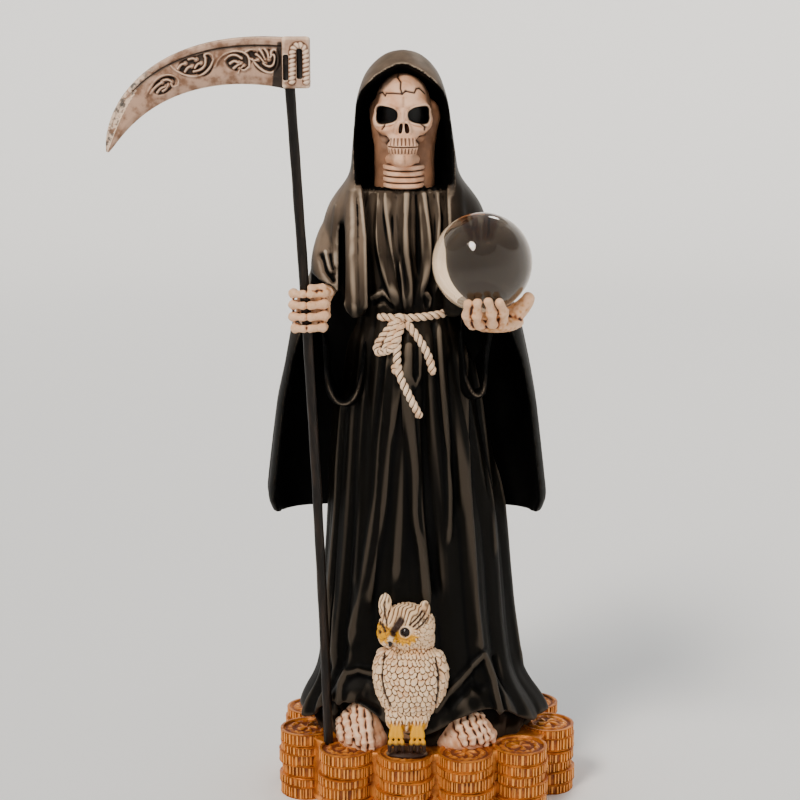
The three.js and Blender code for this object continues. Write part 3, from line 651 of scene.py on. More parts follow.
# Pleats in front: height, reach to the left and to the right, and places from the left and up
GOWN_PLEATS = [
    [2.0, 1.1, 2.6, [(-22, 298), (-22.4, 287), (-21.2, 281), (-19.3, 267), (-16, 250)]],
    [2.6, 1.4, 3.4, [(-25.6, 296), (-26.4, 284), (-26.8, 268), (-22.4, 251), (-16.5, 236)]],
    [2.8, 2.2, 1.6, [(-11.3, 300), (-12.1, 278), (-11.3, 259), (-9.4, 251), (-9.8, 234)]],
    [1.6, 0.9, 1.2, [(-15, 262), (-13.6, 250), (-12, 233)]],
    [2.3, 2.6, 1.1, [(-3.4, 300), (-1, 282), (0.6, 267), (-0.8, 252), (-4.5, 240)]],
    [1.4, 1.4, 1, [(4.2, 296), (5.6, 280), (4, 262)]],
    [1.2, 1.2, 1.2, [(9, 292), (9.6, 276), (8, 258), (3, 243)]],
    [-1.6, 1.3, 1.3, [(-19.6, 285), (-18.6, 264), (-14.4, 246)]],
    [-1.6, 1.2, 1.2, [(-6.8, 297), (-5.8, 278), (-5.2, 254)]],
    [2.8, 1.6, 5, [(-44, 190), (-47.6, 151), (-48.8, 124), (-52.8, 80), (-51, 40)]],
    [1.1, 2, 2, [(-33.4, 196), (-36, 160), (-36.4, 120), (-38.6, 84)]],
    [2.4, 2, 5, [(-20, 214), (-26, 167), (-27.6, 137), (-30.8, 114), (-35, 86), (-41.6, 56)]],
    [1.8, 3, 1.2, [(-14.6, 200), (-19.6, 167), (-22, 137), (-26, 108), (-31, 78)]],
    [1.7, 2.4, 3, [(-12, 218), (-13, 183), (-15, 125), (-17, 92)]],
    [3, 3.4, 1.3, [(-11.6, 206), (-9.8, 184), (-6.6, 152), (-6.2, 125), (-2.6, 108), (0.3, 80)]],
    [-2.6, 1.5, 3, [(-3, 206), (-2.2, 160), (-1, 128), (4.6, 84)]],
    [2.2, 1.4, 1.6, [(4.7, 228), (6.9, 196), (9.4, 167), (10.8, 137), (10.6, 112)]],
    [-1.8, 1.3, 1.8, [(10.6, 210), (13, 165), (14.6, 128)]],
    [2.9, 5, 1.3, [(18.6, 214), (19.2, 183), (19.8, 145), (23, 113), (25.4, 80), (28.8, 50)]],
    [1.3, 1.2, 1.6, [(26, 205), (28.2, 180), (32.7, 143), (36, 100)]],
    [2, 3, 3, [(38, 150), (41, 110), (45, 70), (52, 34)]],
]
# Lines drawn on the cloth: width, height of the ridge, and places from the left and up
GOWN_LINES = [
    [1.2, 1.5, [(-10.3, 216), (-10.3, 200), (-7.4, 195), (-4.2, 200), (-4.6, 218)]],
    [1.8, 2.8, [(-50, 14), (-47.5, 26), (-46, 34), (-43, 39.5), (-37, 42), (-28.8, 41)]],
    [6, 2.2, [(-40, 30), (-32, 34), (-22, 26)]],
    [3, -1.8, [(-41, 20), (-36, 26), (-28, 22)]],
    [1.6, 2.6, [(4, 24), (14, 35), (22, 43), (29.6, 50), (34, 38), (39, 19)]],
    [2.6, -1.6, [(12, 26), (23, 35), (28, 33)]],
    [1.2, -1.4, [(35.8, 46), (38.6, 32), (43, 16)]],
    [1.1, 1.3, [(-29.4, 240), (-24, 243.4), (-20, 239)]],
    [1.0, -1.4, [(-28, 237.6), (-23, 240), (-19.4, 236)]],
    [0.9, 1.4, [(-1.4, 243), (0.7, 240), (0, 236)]],
    [0.8, -1.1, [(-2.2, 240), (-1.2, 236)]],
]


def sway(z):
    return between(SWAY, z, 10)[0]


def level_ring(angle, half, front, back, power=2.0):
    """Places across and deep on a level ring. Angle 0 is the front, and it grows to the right."""
    s = np.sin(angle)
    c = np.cos(angle)
    x = half * np.sign(s) * np.abs(s) ** (2 / power)
    y = -np.where(c > 0, front, back) * np.sign(c) * np.abs(c) ** (2 / power)
    return x, y


def apart(angle, other):
    return (angle - other + math.pi) % TAU - math.pi


def gown_folds(angle, z):
    """How far the cloth stands out in its long folds, sharp on the crests and hollow between."""
    down = np.clip((WAIST - z) / (WAIST - SKIRT_HEM), 0, 1)
    up = np.clip((z - WAIST) / (COLLAR - WAIST), 0, 1)
    pinch = mix(0.35, 1, smooth(np.abs(z - WAIST) / 14))
    crests = []
    for collar, waist, hem, on_chest, at_hem in GOWN_FOLDS:
        place = np.where(z < WAIST, mix(waist, hem, smooth(down)), mix(waist, collar, up))
        height = np.where(z < WAIST, mix(1.8, at_hem, down), on_chest)
        crests.append((np.radians(place), height * pinch))
    total = 0
    for i, (crest, height) in enumerate(crests):
        before = crests[i - 1][0]
        after = crests[(i + 1) % len(crests)][0]
        away = apart(angle, crest)
        reach = np.where(away < 0, -apart(before, crest), apart(after, crest)) / 2
        share = np.clip(np.abs(away) / reach, 0, 1)
        sharp = np.clip(1.1 - np.sqrt(share**2 + 0.01), 0, 1) ** 1.6
        total = total + height * (0.4 * np.cos(share * math.pi / 2) + 0.6 * sharp)
    return total


def hem_lift(angle):
    """The skirt's edge is lifted over each foot."""
    lift = 0
    for place, reach, height in ((-38, 34, 17), (30, 34, 13)):
        share = np.clip(np.abs(apart(angle, math.radians(place))) / math.radians(reach), 0, 1)
        lift = lift + height * np.cos(share * math.pi / 2) ** 1.5
    return lift


def pleats(x, z):
    """The long pleats in front, each with a steep side and an easy side."""
    total = 0
    for height, left, right, path in GOWN_PLEATS:
        rows = np.array(path[::-1], float)[:, ::-1]
        away = x - between(rows, z, 6)[0]
        ends = smooth((z - rows[0, 0] + 4) / 12) * smooth((rows[-1, 0] + 4 - z) / 12)
        total = total + height * ends * np.exp(-((away / np.where(away < 0, left, right)) ** 2))
    return total


def faces_front(normals):
    """How surely a surface faces the front, from 0 to 1."""
    return smooth((-normals[:, 1] - 0.1) / 0.3)


def mark_sheen(obj, low, high, top):
    """Marks painted sheen where the cloth looks up and forward into the light, stronger on the left and a
    little weaker on top of the hood, from a low height to a high one.
    """
    normals = normals_of(obj)
    points = read_points(obj) / MM
    z = grid_height(points[:, 2])
    facing = smooth((normals[:, 2] - 0.25 * normals[:, 1] + 0.1) / 0.7)
    side = mix(1, 0.22, smooth((points[:, 0] - 2) / 14))
    crown = mix(1, 0.74, smooth((z - 325) / 20))
    # The worn mark holds this painted sheen, with a little of it everywhere
    mark(obj, "worn", side * crown * facing * smooth((z - low) / (high - low)) * top + 0.06)


def gown(paint):
    def shape(u, v):
        angle = (u - 0.5) * TAU
        z, inset, open_ = between(GOWN_PATH, v)
        half, front, back = between(GOWN_SHAPE, z, 5)
        x, y = level_ring(angle, half - inset, front - inset, back - inset)
        small = 0.35 * np.sin(31 * angle + 3 * np.sin(z / 45)) * np.cos(7 * angle + z / 60)
        grow = open_ * (1 + (gown_folds(angle, z) + small) / np.hypot(half, front))
        held = np.clip((v - 0.012) / 0.028, 0, 1) * np.clip((52 - z) / 40, 0, 1)
        z = z + held * hem_lift(angle)
        return on_grid(sway(z) + x * grow, y * grow, z)

    robe = skin("gown", 380, 250, shape)

    def lines(points, normals):
        x = points[:, 0]
        z = grid_height(points[:, 2])
        drawn = line_work(x, z, GOWN_LINES) + pleats(x, z) * smooth((z - 8) / 20)
        return faces_front(normals) * (z > 8) * drawn

    swell(robe, lines)
    mark_hollows(robe, 8, 1.2)
    z = grid_height(read_points(robe)[:, 2] / MM)
    # Painted shade on the collar under the neck: marked hollow, which the robe paint darkens
    mark(robe, "hollow", np.maximum(read_mark(robe, "hollow"), 0.8 * smooth((z - 293.6) / 2.6)))
    # Painted sheen on the chest where it faces the light
    mark_sheen(robe, 180, 285, 0.6)
    return dress(robe, paint)


# Cape, hood and sleeves

CAPE_HEM = 121
HOOD_FOOT = 302
CAPE_SHAPE = [
    # height, half width, front, back, squareness
    [CAPE_HEM, 72, 22, 40, 2.8],
    [CAPE_HEM + 8, 76.2, 25, 42, 2.8],
    [183, 69.8, 27, 39, 2.7],
    [226, 61, 28, 36, 2.5],
    [249, 52, 28, 35, 2.4],
    [268, 46, 30, 34, 2.4],
    [284, 42, 31, 33, 2.4],
    [292, 38, 31.5, 32, 2.4],
    [298, 32.5, 32, 32, 2.6],
    [HOOD_FOOT + 2, 28.4, 33, 32, 3.2],
    [342, 24, 35, 31, 3.6],
    [351.5, 21.1, 31, 27, 3],
    [356, 19.3, 27, 22, 2.6],
    [360, 16.4, 21, 17, 2.3],
    [364.4, 11.6, 13, 12, 2],
    [367, 6.4, 7, 6, 2],
    [368, 0.01, 0.01, 0.01, 2],
]
HOOD_HOLLOW = [
    # height, half width, depth behind the body's middle, squareness
    [219, 20.5, -14, 6],
    [232, 21, -12, 6],
    [264, 21, -6, 6],
    [286, 23, -2, 6],
    [300, 24.8, 2, 6],
    [316, 25.1, 4, 5],
    [329, 24.4, 4, 5],
    [341, 22.7, 3, 4],
    [346.5, 20.4, 1, 4],
    [350.5, 16.6, -3, 3.4],
    [354.5, 11.8, -8, 3],
    [357.5, 7.2, -13, 2.6],
    [360, 2.2, -17, 2.2],
]
HOLLOW_FRONT = -32
CAPE_STRAIGHT = 200
CAPE_WALL = 5
# Each sleeve: the line of its cloth, the opening in its front, the slot beside it and where the wrist starts
SLEEVES = [
    {
        "line": [
            (-37, 2, 281), (-45.5, -4, 266), (-48, -12, 250),
            (-45.5, -17, 230), (-43.6, -20, 210), (-43.6, -21, 182),
        ],
        "radii": [15.5, 15.5, 14.6, 11.6, 11.2, 10.4],
        "opening": [
            (-64, 255), (-57, 249.5), (-50.5, 247), (-46.4, 243), (-43, 234), (-39.6, 230.6),
            (-36, 230.4), (-33.8, 232), (-33.6, 222), (-35.4, 204), (-38.6, 191.5), (-43.6, 186.4),
            (-48.6, 188.5), (-52, 199), (-53, 216), (-58, 232), (-64, 243),
        ],
        "slot": [
            (-44.8, 284), (-46.6, 275), (-46.8, 262), (-47, 245),
            (-46, 238), (-43.6, 238), (-43.2, 258), (-43.4, 275),
        ],
        "panel": (-38.4, -37.8),
        "wrist": (-50, -8, 246),
    },
    {
        "line": [
            (13, 2, 281), (22, -4, 266), (27, -12, 248),
            (26, -17, 230), (23.4, -20, 212), (23.8, -21, 185.6),
        ],
        "radii": [15.5, 15, 12.6, 9.6, 7.9, 7.2],
        "opening": [
            (17.4, 236), (18, 216), (20, 200), (24.4, 190.6), (28, 192), (29, 200),
            (29.4, 216), (32, 230), (36, 240), (28, 247), (20, 245),
        ],
        "slot": None,
        "panel": (13.4, 12.6),
        "wrist": (33, -22, 243),
    },
]
FOREARM = [(26, -10, 251), (33, -20, 244), (37.5, -30, 238.5)]
PANEL = [
    # height, place from front to back, radius
    [300, -17, 4],
    [284, -23, 6],
    [262, -25.6, 6.3],
    [244, -26, 6.2],
    [230, -25, 5.6],
]
# The cuff that the open hand comes out of
CUFF_MIDDLE = (40, -36, 235.5)
CUFF_HALF = (7.6, 9, 7.6)
# The lower edge of each sleeve's opening: places from the left and up
SLEEVE_HEMS = [
    [(-54.6, 214), (-54, 198), (-49.4, 186.4), (-43.8, 184), (-38.2, 188.6), (-34.4, 202), (-32.4, 222)],
    [(16.6, 222), (19, 198), (24.4, 188.4), (28.9, 190), (30, 200)],
]
CAPE_LINES = [
    # width, height of the ridge or, below zero, of the groove, and places from the left and up
    [1.5, -2.2, [(-56, 261), (-54, 255), (-49.8, 250)]],
    [1.3, 1.2, [(-53.4, 264), (-51.2, 254)]],
    [1.2, -1.1, [(-51.6, 262), (-49.6, 253)]],
    [1.0, 1.3, [(-38.2, 316), (-37.3, 305), (-36.6, 300), (-34.9, 286), (-33.6, 272), (-33, 236)]],
    [1.0, 1.2, [(12.2, 316), (11.6, 304), (10.4, 294), (11, 276), (10, 250)]],
    [1.8, 0.8, [(-39.6, 296), (-39.4, 280), (-40.2, 262), (-38.6, 232)]],
    [1.3, -0.7, [(-37, 292), (-36.8, 270), (-36, 234)]],
    [1.4, 0.8, [(-47.8, 288), (-49.6, 272), (-48.4, 258)]],
    *[[0.8, 0.9, hem] for hem in SLEEVE_HEMS],
]
# The cape is run together in rough cells, opened, run together in fine ones and kept under a number of faces
CAPE_ROUGH_CELL = 1.3
CAPE_CELL = 0.95
CAPE_FACES = 98000


def cape_place(angle, z, soft):
    """Places across and deep on the outside of the cape, whose back hangs in long folds."""
    half, front, back, power = between(CAPE_SHAPE, z, soft)
    x, y = level_ring(angle, half, front, back, power)
    low = smooth((HOOD_FOOT - z) / 120)
    behind = smooth((np.abs(angle) - math.radians(75)) / math.radians(40))
    fold = 3 * low * behind * (np.cos(14 * angle + 0.5 * np.sin(z / 30)) - 0.3 * np.cos(28 * angle))
    grow = 1 + fold / np.maximum(np.hypot(x, y), 1)
    return x * grow, y * grow


def cape_skin():
    def shape(u, v):
        angle = (u - 0.5) * TAU
        rows = [[0, CAPE_HEM, 0], [0.02, CAPE_HEM, 1], [0.8, 342, 1], [0.995, 367.6, 1], [1, 368, 0]]
        z, open_ = between(rows, v)
        soft = np.clip((368 - z) / 8, 0, 1) * 4
        x, y = cape_place(angle, z, soft)
        centre = sway(np.maximum(z, CAPE_STRAIGHT))
        return on_grid(centre + open_ * x, open_ * y, z)

    return skin("cape", 260, 220, shape)


def hollow(name, rows, straight):
    """A space with a level rounded section: rows of height, half width, depth and squareness."""

    def shape(u, v):
        angle = (u - 0.5) * TAU
        share, open_ = open_ends(v, 0.04)
        z = mix(rows[0][0], rows[-1][0], share)
        half, depth, power = between(rows, z, 1.5)
        x, y = level_ring(angle, half, 20, depth - HOLLOW_FRONT, power)
        centre = sway(np.maximum(z, straight))
        return on_grid(centre + open_ * x, HOLLOW_FRONT + open_ * y, z)

    return skin(name, 120, 110, shape)


def cape_hollow_rows():
    """The space between the hanging front edges."""
    rows = []
    for z in (CAPE_HEM - 3, CAPE_HEM + 8, 183, 206, 216, 226, 234):
        close = float(smooth((z - 204) / 30))
        half = between(CAPE_SHAPE, z)[0] - CAPE_WALL - 4 * close
        rows.append([z, half, HOLLOW_FRONT + mix(46, 34, close), 5])
    return rows


def in_hollow(x, y, z, rows, straight):
    """How surely places lie on the walls of a space, from 0 to 1."""
    half, depth = between(rows, z)[:2]
    across = np.abs(x - sway(np.maximum(z, straight)))
    level = smooth((z - rows[0][0] + 1) / 2) * smooth((rows[-1][0] + 1 - z) / 2)
    fade = mix(1, smooth((z - 293) / 10), smooth((-13 - y) / 4) * smooth((z - 222) / 8))
    return level * fade * smooth((half + 1.6 - across) / 1.2) * smooth((depth + 2.4 - y) / 1.2)


def in_loop(x, z, loop):
    """Whether places lie inside a loop, by counting the sides that a line from them crosses."""
    inside = np.zeros(np.shape(x), bool)
    for (x0, z0), (x1, z1) in zip(loop, loop[1:] + loop[:1]):
        level = (z0 > z) != (z1 > z)
        inside ^= level & (x < (x1 - x0) * (z - z0) / (z1 - z0 + 1e-9) + x0)
    return inside


def cutter(loop, front, back):
    """A block whose outline from the front is a loop: a circle drawn out to it and extruded."""
    deselect()
    bpy.ops.mesh.primitive_circle_add(vertices=len(loop), radius=1, fill_type="NGON")
    obj = named("cutter")
    write_points(obj, np.array([on_grid(x, front, z) for x, z in loop]) * MM)
    bpy.ops.object.mode_set(mode="EDIT")
    bpy.ops.mesh.select_all(action="SELECT")
    bpy.ops.mesh.extrude_region_move(TRANSFORM_OT_translate={"value": (0, (back - front) * UNIT * MM, 0)})
    bpy.ops.mesh.select_all(action="SELECT")
    bpy.ops.mesh.normals_make_consistent(inside=False)
    bpy.ops.object.mode_set(mode="OBJECT")
    return obj


def sleeve(arm):
    cloth = tube("sleeve", [on_grid(*place) for place in arm["line"]], arm["radii"], 60, 80)
    high, low = arm["panel"]
    strip = [on_grid(mix(low, high, (z - 230) / 70), y, z) for z, y, _ in PANEL]
    panel = tube("panel", strip, [radius for _, _, radius in PANEL], 32, 40)
    return [cloth, panel]


def sleeve_cuts(arm):
    tools = [cutter(arm["opening"], -70, -13)]
    if arm["slot"]:
        tools.append(cutter(arm["slot"], -70, -15))
    return tools


def cape(paint):
    spaces = ((HOOD_HOLLOW, 0), (cape_hollow_rows(), CAPE_STRAIGHT))
    body = cut(cape_skin(), [hollow("space", *space) for space in spaces])
    parts = [body]
    for arm in SLEEVES:
        parts += sleeve(arm)
    parts.append(tube("forearm", [on_grid(*place) for place in FOREARM], [12, 10.6, 9.6], 40, 30))
    robe = melt(parts, "cape", CAPE_ROUGH_CELL, 2)
    for arm in SLEEVES:
        cut(robe, sleeve_cuts(arm))
    cut(robe, [egg("cuff", on_grid(*CUFF_MIDDLE), CUFF_HALF)])
    robe = melt([robe], "cape", CAPE_CELL, 3)

    def lines(points, normals):
        x, y, z = points.T
        front = faces_front(normals) * smooth((-12 - y) / 4)
        return front * line_work(x, grid_height(z), CAPE_LINES)

    swell(robe, lines)
    faces = len(robe.data.polygons)
    if faces > CAPE_FACES:
        modify(robe, "DECIMATE", ratio=CAPE_FACES / faces)
    mark_hollows(robe, 6, 0.8)
    # Painted sheen where the cape faces the light
    mark_sheen(robe, 190, 275, 1)
    x, y, z = read_points(robe).T / MM
    z = grid_height(z)
    # Painted shade: the insides of the hood, of the cape between its front edges and of the sleeve openings
    # are marked fully hollow, so the robe paint makes them near black
    inner = 0
    for rows, straight in spaces:
        inner = np.maximum(inner, in_hollow(x, y, z, rows, straight))
    seen = np.maximum(smooth((x + 57) / 2), smooth((-normals_of(robe)[:, 1] - 0.5) / 0.3) * (y < -10))
    for arm in SLEEVES:
        inner = np.maximum(inner, in_loop(x, z, arm["opening"]) * smooth((y + 25) / 3) * (y < 5) * seen)
    mark(robe, "hollow", np.maximum(read_mark(robe, "hollow"), inner))
    # Painted highlights: the left sleeve's panel and the lower edges of the sleeve openings get more painted
    # sheen, and those edges lose their painted shade
    lit = smooth((x + 46) / 4) * smooth((-30 - x) / 4) * smooth((z - 231) / 10) * smooth((288 - z) / 12)
    hem_highlight = np.maximum.reduce([stroke(x, z, rounded(hem), 1.2) for hem in SLEEVE_HEMS])
    hem_highlight = hem_highlight * smooth((-14 - y) / 3) * smooth((214 - z) / 24)
    mark(robe, "worn", read_mark(robe, "worn") + 0.28 * lit * smooth((-18 - y) / 4) + 0.26 * hem_highlight)
    mark(robe, "hollow", read_mark(robe, "hollow") * (1 - 0.75 * hem_highlight))
    return dress(robe, paint)


# Skull and neck

SKULL_X = -13.6
HEAD_Y = -3
EYE_Z = 334.4
SKULL_SHAPE = [
    # height, half width, front, back
    [307.4, 0.01, 12, 0.01],
    [308, 5, 20, 2],
    [309.6, 7.4, 22.2, 2],
    [311.4, 8.6, 22.8, 3],
    [315.4, 10.4, 23.2, 5],
    [319, 11.6, 23.4, 8],
    [322.4, 12.6, 23.2, 10],
    [326, 13.6, 22.6, 12],
    [329, 14.8, 22.2, 14],
    [332, 15.6, 22, 16],
    [337, 15.2, 22.8, 18],
    [341, 14.7, 23.2, 19],
    [346, 13.4, 21.4, 19],
    [350, 11.4, 18, 17],
    [353.5, 8.4, 13, 12],
    [355.8, 4.8, 8, 7],
    [357, 0.01, 0.01, 0.01],
]
# Forms on both sides of the face, from its middle and from the height of the eyes: width and height
FACE_LINES = [
    [1.5, 1.1, [(2.6, 4.6), (6, 5.8), (10.6, 5.6), (13.8, 3)]],
    [2.0, 1.5, [(3.6, -6.6), (7, -7.4), (11, -7.4), (14.4, -4.4), (16, -0.6)]],
    [1.4, -1.8, [(7.6, -13), (10.4, -12.6), (13.6, -9.6)]],
    [1.3, -3, [(9.9, -11.8), (10.1, -15.5), (9, -19.8)]],
    [1.3, 1.8, [(12.9, -11.4), (12.4, -15.6), (10.9, -20), (8, -24.2)]],
    [2.2, -1.3, [(15, 4), (14.6, 11)]],
    [1.2, 1.4, [(0, 1.6), (0, -3)]],
    [0.8, 0.8, [(2.0, -3.6), (3.3, -8.8)]],
    [1.0, -0.6, [(3.6, -2.6), (6, -5.4), (9, -5.6)]],
]
# Brown wash drawn on both sides of the face: width, strength
FACE_WASH = [
    [1.1, 1.0, [(9.9, -12), (10.1, -15.5), (9, -19.8)]],
    [0.7, 0.8, [(8, -12.2), (10.4, -11.8), (13.2, -9.6), (15.6, -5.4)]],
    [1.0, 0.7, [(15, -10.5), (14.2, -16), (12.6, -20.6), (9.4, -25)]],
    [1.5, 0.35, [(8.2, -13), (8.6, -18), (5, -21)]],
    [0.7, 0.35, [(3, 3.4), (2.4, -1), (3.4, -3.6)]],
    [0.6, 0.3, [(3.8, -5), (4.4, -8.6)]],
    [1.4, 0.28, [(14.4, 5), (13.6, 11)]],
]
CRACKS = [
    [(-2, 22), (-2.7, 19.4), (-1, 16.8), (-1.2, 13.7), (-0.3, 10.9)],
    [(-12.5, 11.4), (-10.7, 11.7), (-9.2, 9.8), (-8.7, 11.2), (-5.1, 11.2), (-0.3, 10.9), (1.5, 12.4)],
    [(1.5, 12.4), (3.6, 11.9), (6.1, 11.4), (7.1, 13.5), (8.7, 13.7), (11.7, 11.1)],
    [(-9.2, -4.9), (-9.7, -7)],
    [(9.4, -4.4), (10.7, -6), (10.2, -7.3)],
]


def teeth_gaps(x, z):
    """How near places are to the gaps of the two rows of teeth, which widen towards the roots."""
    gaps = 0
    for low, high, pitch, roots in ((-15.8, -11.4, 1.72, 1), (-19.9, -16.5, 1.56, -1)):
        away = np.abs((x / pitch) % 1 - 0.5) * pitch
        depth = (z - low) if roots > 0 else (high - z)
        wide = 0.2 + 0.085 * np.clip(depth, 0, 5)
        band = smooth((z - low) / 0.5) * smooth((high - z) / 0.5) * smooth((7.7 - np.abs(x)) / 0.8)
        gaps = np.maximum(gaps, band * np.exp(-((away / wide) ** 2)))
    return gaps


def skull():
    def shape(u, v):
        side = 2 * u - 1
        angle = math.pi * side * (0.5 + 0.5 * side**2)
        share = mix(0.5 - 0.5 * np.cos(math.pi * v), v, 0.6)
        z = mix(SKULL_SHAPE[0][0], SKULL_SHAPE[-1][0], share)
        half, front, back = between(SKULL_SHAPE, z, 0.8)
        x, y = level_ring(angle, half, front, back, 2.15)
        return on_grid(SKULL_X + x, HEAD_Y + y, z)

    head = skin("skull", 330, 270, shape)
    points = read_points(head) / MM
    x = points[:, 0] / UNIT - SKULL_X
    z = grid_height(points[:, 2]) - EYE_Z
    side = np.abs(x)
    front = smooth((HEAD_Y - 6 - points[:, 1]) / 4)
    out = (side - 7.9) / 5.25
    eye = np.abs(out) ** 3 + np.abs(z / (4.25 * (1 + 0.24 * np.clip(out, -1.3, 1)))) ** 2.6
    socket = smooth((1.12 - eye) / 0.24) * front
    rim = np.exp(-(((eye - 1.5) / 0.45) ** 2))
    nose = 0
    for middle, lean in ((-1.0, -0.12), (1.9, 0.12)):
        slit = np.abs((x - middle + lean * (z + 6.8)) / 0.95) ** 3 + np.abs((z + 6.8) / 2.6) ** 3
        nose = np.maximum(nose, smooth((1.25 - slit) / 0.6))
    gaps = teeth_gaps(x - 0.4, z)
    mouth = stroke(x, z, [(-7.2, -15.9), (0, -16.3), (8.2, -15.9)], 0.36)
    cracks = sum(stroke(x, z, path, 0.5) for path in CRACKS)
    chin = stroke(x, z, [(0.9, -20.8), (1, -23.8)], 0.7)
    frown = stroke(x, z, [(0.3, 4.4), (0.5, 8.8)], 0.6)

    height = 0.6 * rim + line_work(side, z, FACE_LINES)
    height += 1.3 * bump(x, z, (0.4, -14), (7.6, 4.6), 3) + 1.3 * bump(x, z, (0, -23), (6, 2.8), 2.5)
    height += 0.5 * smooth((7.8 - side) / 1) * smooth((z + 20) / 0.8) * smooth((-11.2 - z) / 0.8)
    height -= 0.8 * gaps + mouth + 0.6 * np.clip(cracks, 0, 1) + 0.4 * chin + 0.35 * frown
    height *= front * (1 - socket)
    swell(head, lambda places, normals: height)
    move(head, lambda places: places + np.outer(7.5 * socket + 2.4 * nose * front, (0, 1, 0)))

    wash = line_work(side, z, FACE_WASH)
    drawn = [wash, 0.85 * gaps, mouth, nose, np.clip(1.1 * cracks, 0, 1), 0.4 * chin, 0.35 * frown]
    mark_hollows(head, 7, 1.3)
    mark(head, "stain_and_shade", np.maximum.reduce(drawn) * front * (1 - socket))
    mark(head, "black", smooth((1.16 - eye) / 0.16) * front)
    mark(head, "tan", smooth((points[:, 1] + 15) / 5))
    return head


NECK_X = SKULL_X + 0.6
NECK_Y = HEAD_Y - 6
NECK_PITCH = 3.1


def neck():
    """Four rings like stacked discs, with deep grooves between them."""

    def groove(z):
        away = (((z - COLLAR) / NECK_PITCH + 0.5) % 1 - 0.5) * NECK_PITCH
        return np.exp(-((away / 0.42) ** 2))

    def shape(u, v):
        angle = (u - 0.5) * TAU
        share, open_ = open_ends(v, 0.05)
        z = mix(COLLAR - 0.2, COLLAR + 4 * NECK_PITCH - 0.2, share)
        radius = open_ * (11.4 - 1.6 * groove(z))
        x, y = level_ring(angle, radius, radius + 0.5, 8 * open_, 2.3)
        dip = 1.1 * np.cos(angle) * open_
        return on_grid(NECK_X + x, NECK_Y + y, z - dip)

    rings = skin("neck", 120, 150, shape)
    points = read_points(rings) / MM
    mark_hollows(rings, 6, 1.4)
    angle = np.arctan2(points[:, 0] - NECK_X * UNIT, NECK_Y - points[:, 1])
    mark(rings, "stain_and_shade", 0.95 * groove(grid_height(points[:, 2]) + 1.1 * np.cos(angle)))
    return rings


NAPE_SHAPE = [
    # height, middle, half width, front
    [296.6, 1, 15.8, 12.4],
    [317, 0.9, 15.7, 11],
    [326, 1, 17.2, 8],
    [333.4, 1.2, 18.6, 6],
    [339.5, 0.6, 17.8, 6],
    [342.8, 0.2, 14.8, 5],
    [346, 0, 11, 4],
]


def nape():
    """The plain block behind the jaw and the temples that fills the hood round the skull."""

    def shape(u, v):
        angle = (u - 0.5) * TAU
        share, open_ = open_ends(v, 0.04)
        open_ = open_**0.6
        z = mix(NAPE_SHAPE[0][0], NAPE_SHAPE[-1][0], share)
        middle, half, front = between(NAPE_SHAPE, z, 1.5)
        x, y = level_ring(angle, half, front, 14, 3.4)
        return on_grid(SKULL_X + middle + open_ * x, HEAD_Y + open_ * y, z)

    block = skin("nape", 160, 140, shape)
    swell(block, lambda points, normals: 0.3 * grain(points, 3.2, 2) + 0.15 * grain(points, 1.1, 4))
    mark_hollows(block, 6, 1.4)
    mark(block, "tan", np.ones(len(block.data.vertices)))
    return block


def head(paint):
    return dress(join([skull(), neck(), nape()], "skull"), paint)


# Coins

COIN_RADIUS = 15.0
COIN_THICKNESS = 6.2
COINS_HIGH = 6
COIN_SLIP = 0.9
RING_HALF_X = 67
RING_HALF_Y = 52
RING_Y = 2
REEDS = 46
STACK_ANGLES = [-108, -80, -36, -7, 12.5, 43, 86, 118, 148, 173, -169, -139]
SCYTHE_STACK = 2
OWL_STACK = 3


def stack_centre(index):
    angle = math.radians(STACK_ANGLES[index])
    across, deep = (math.copysign(abs(f) ** 0.8, f) for f in (math.sin(angle), math.cos(angle)))
    return np.array([RING_HALF_X * across, RING_Y - RING_HALF_Y * deep, 0.0])


def select_faces(obj, wanted):
    """Selects the faces that wanted(face) picks, and goes to edit mode."""
    bpy.ops.object.mode_set(mode="EDIT")
    bpy.ops.mesh.select_mode(type="FACE")
    bpy.ops.mesh.select_all(action="DESELECT")
    bpy.ops.object.mode_set(mode="OBJECT")
    for face in obj.data.polygons:
        face.select = bool(wanted(face))
    bpy.ops.object.mode_set(mode="EDIT")


def coin(name, face_steps):
    """A thick coin: reeds round its side, smooth rims and a sunk face to carry relief."""
    deselect()
    half = COIN_THICKNESS * MM / 2
    rim = 0.00045
    bevel = 0.0002
    band = half - rim - bevel
    body = (COIN_RADIUS - 0.9) * MM
    bpy.ops.mesh.primitive_cylinder_add(vertices=2 * REEDS, radius=body, depth=2 * band)
    obj = named(name)
    select_faces(obj, lambda face: abs(face.normal.z) < 0.5 and face.index % 2 == 0)
    bpy.ops.mesh.inset(thickness=0.00014, depth=0.0008, use_individual=True)
    grow = COIN_RADIUS * MM / body
    for side in (1, -1):
        select_faces(obj, lambda face: face.center.z * side > band - 1e-6)
        bpy.ops.mesh.extrude_region_move(TRANSFORM_OT_translate={"value": (0, 0, bevel * side)})
        bpy.ops.transform.resize(value=(grow, grow, 1))
        bpy.ops.mesh.extrude_region_move(TRANSFORM_OT_translate={"value": (0, 0, (rim - bevel) * side)})
        bpy.ops.mesh.inset(thickness=0.0004, depth=bevel)
        if side == 1 and face_steps:
            bpy.ops.mesh.inset(thickness=0.0011, depth=0)
            bpy.ops.mesh.inset(thickness=0.0006, depth=-0.0012)
            for _ in range(face_steps):
                bpy.ops.mesh.inset(thickness=0.0115 / face_steps, depth=0)
            bpy.ops.mesh.poke()
    bpy.ops.object.mode_set(mode="OBJECT")
    return obj


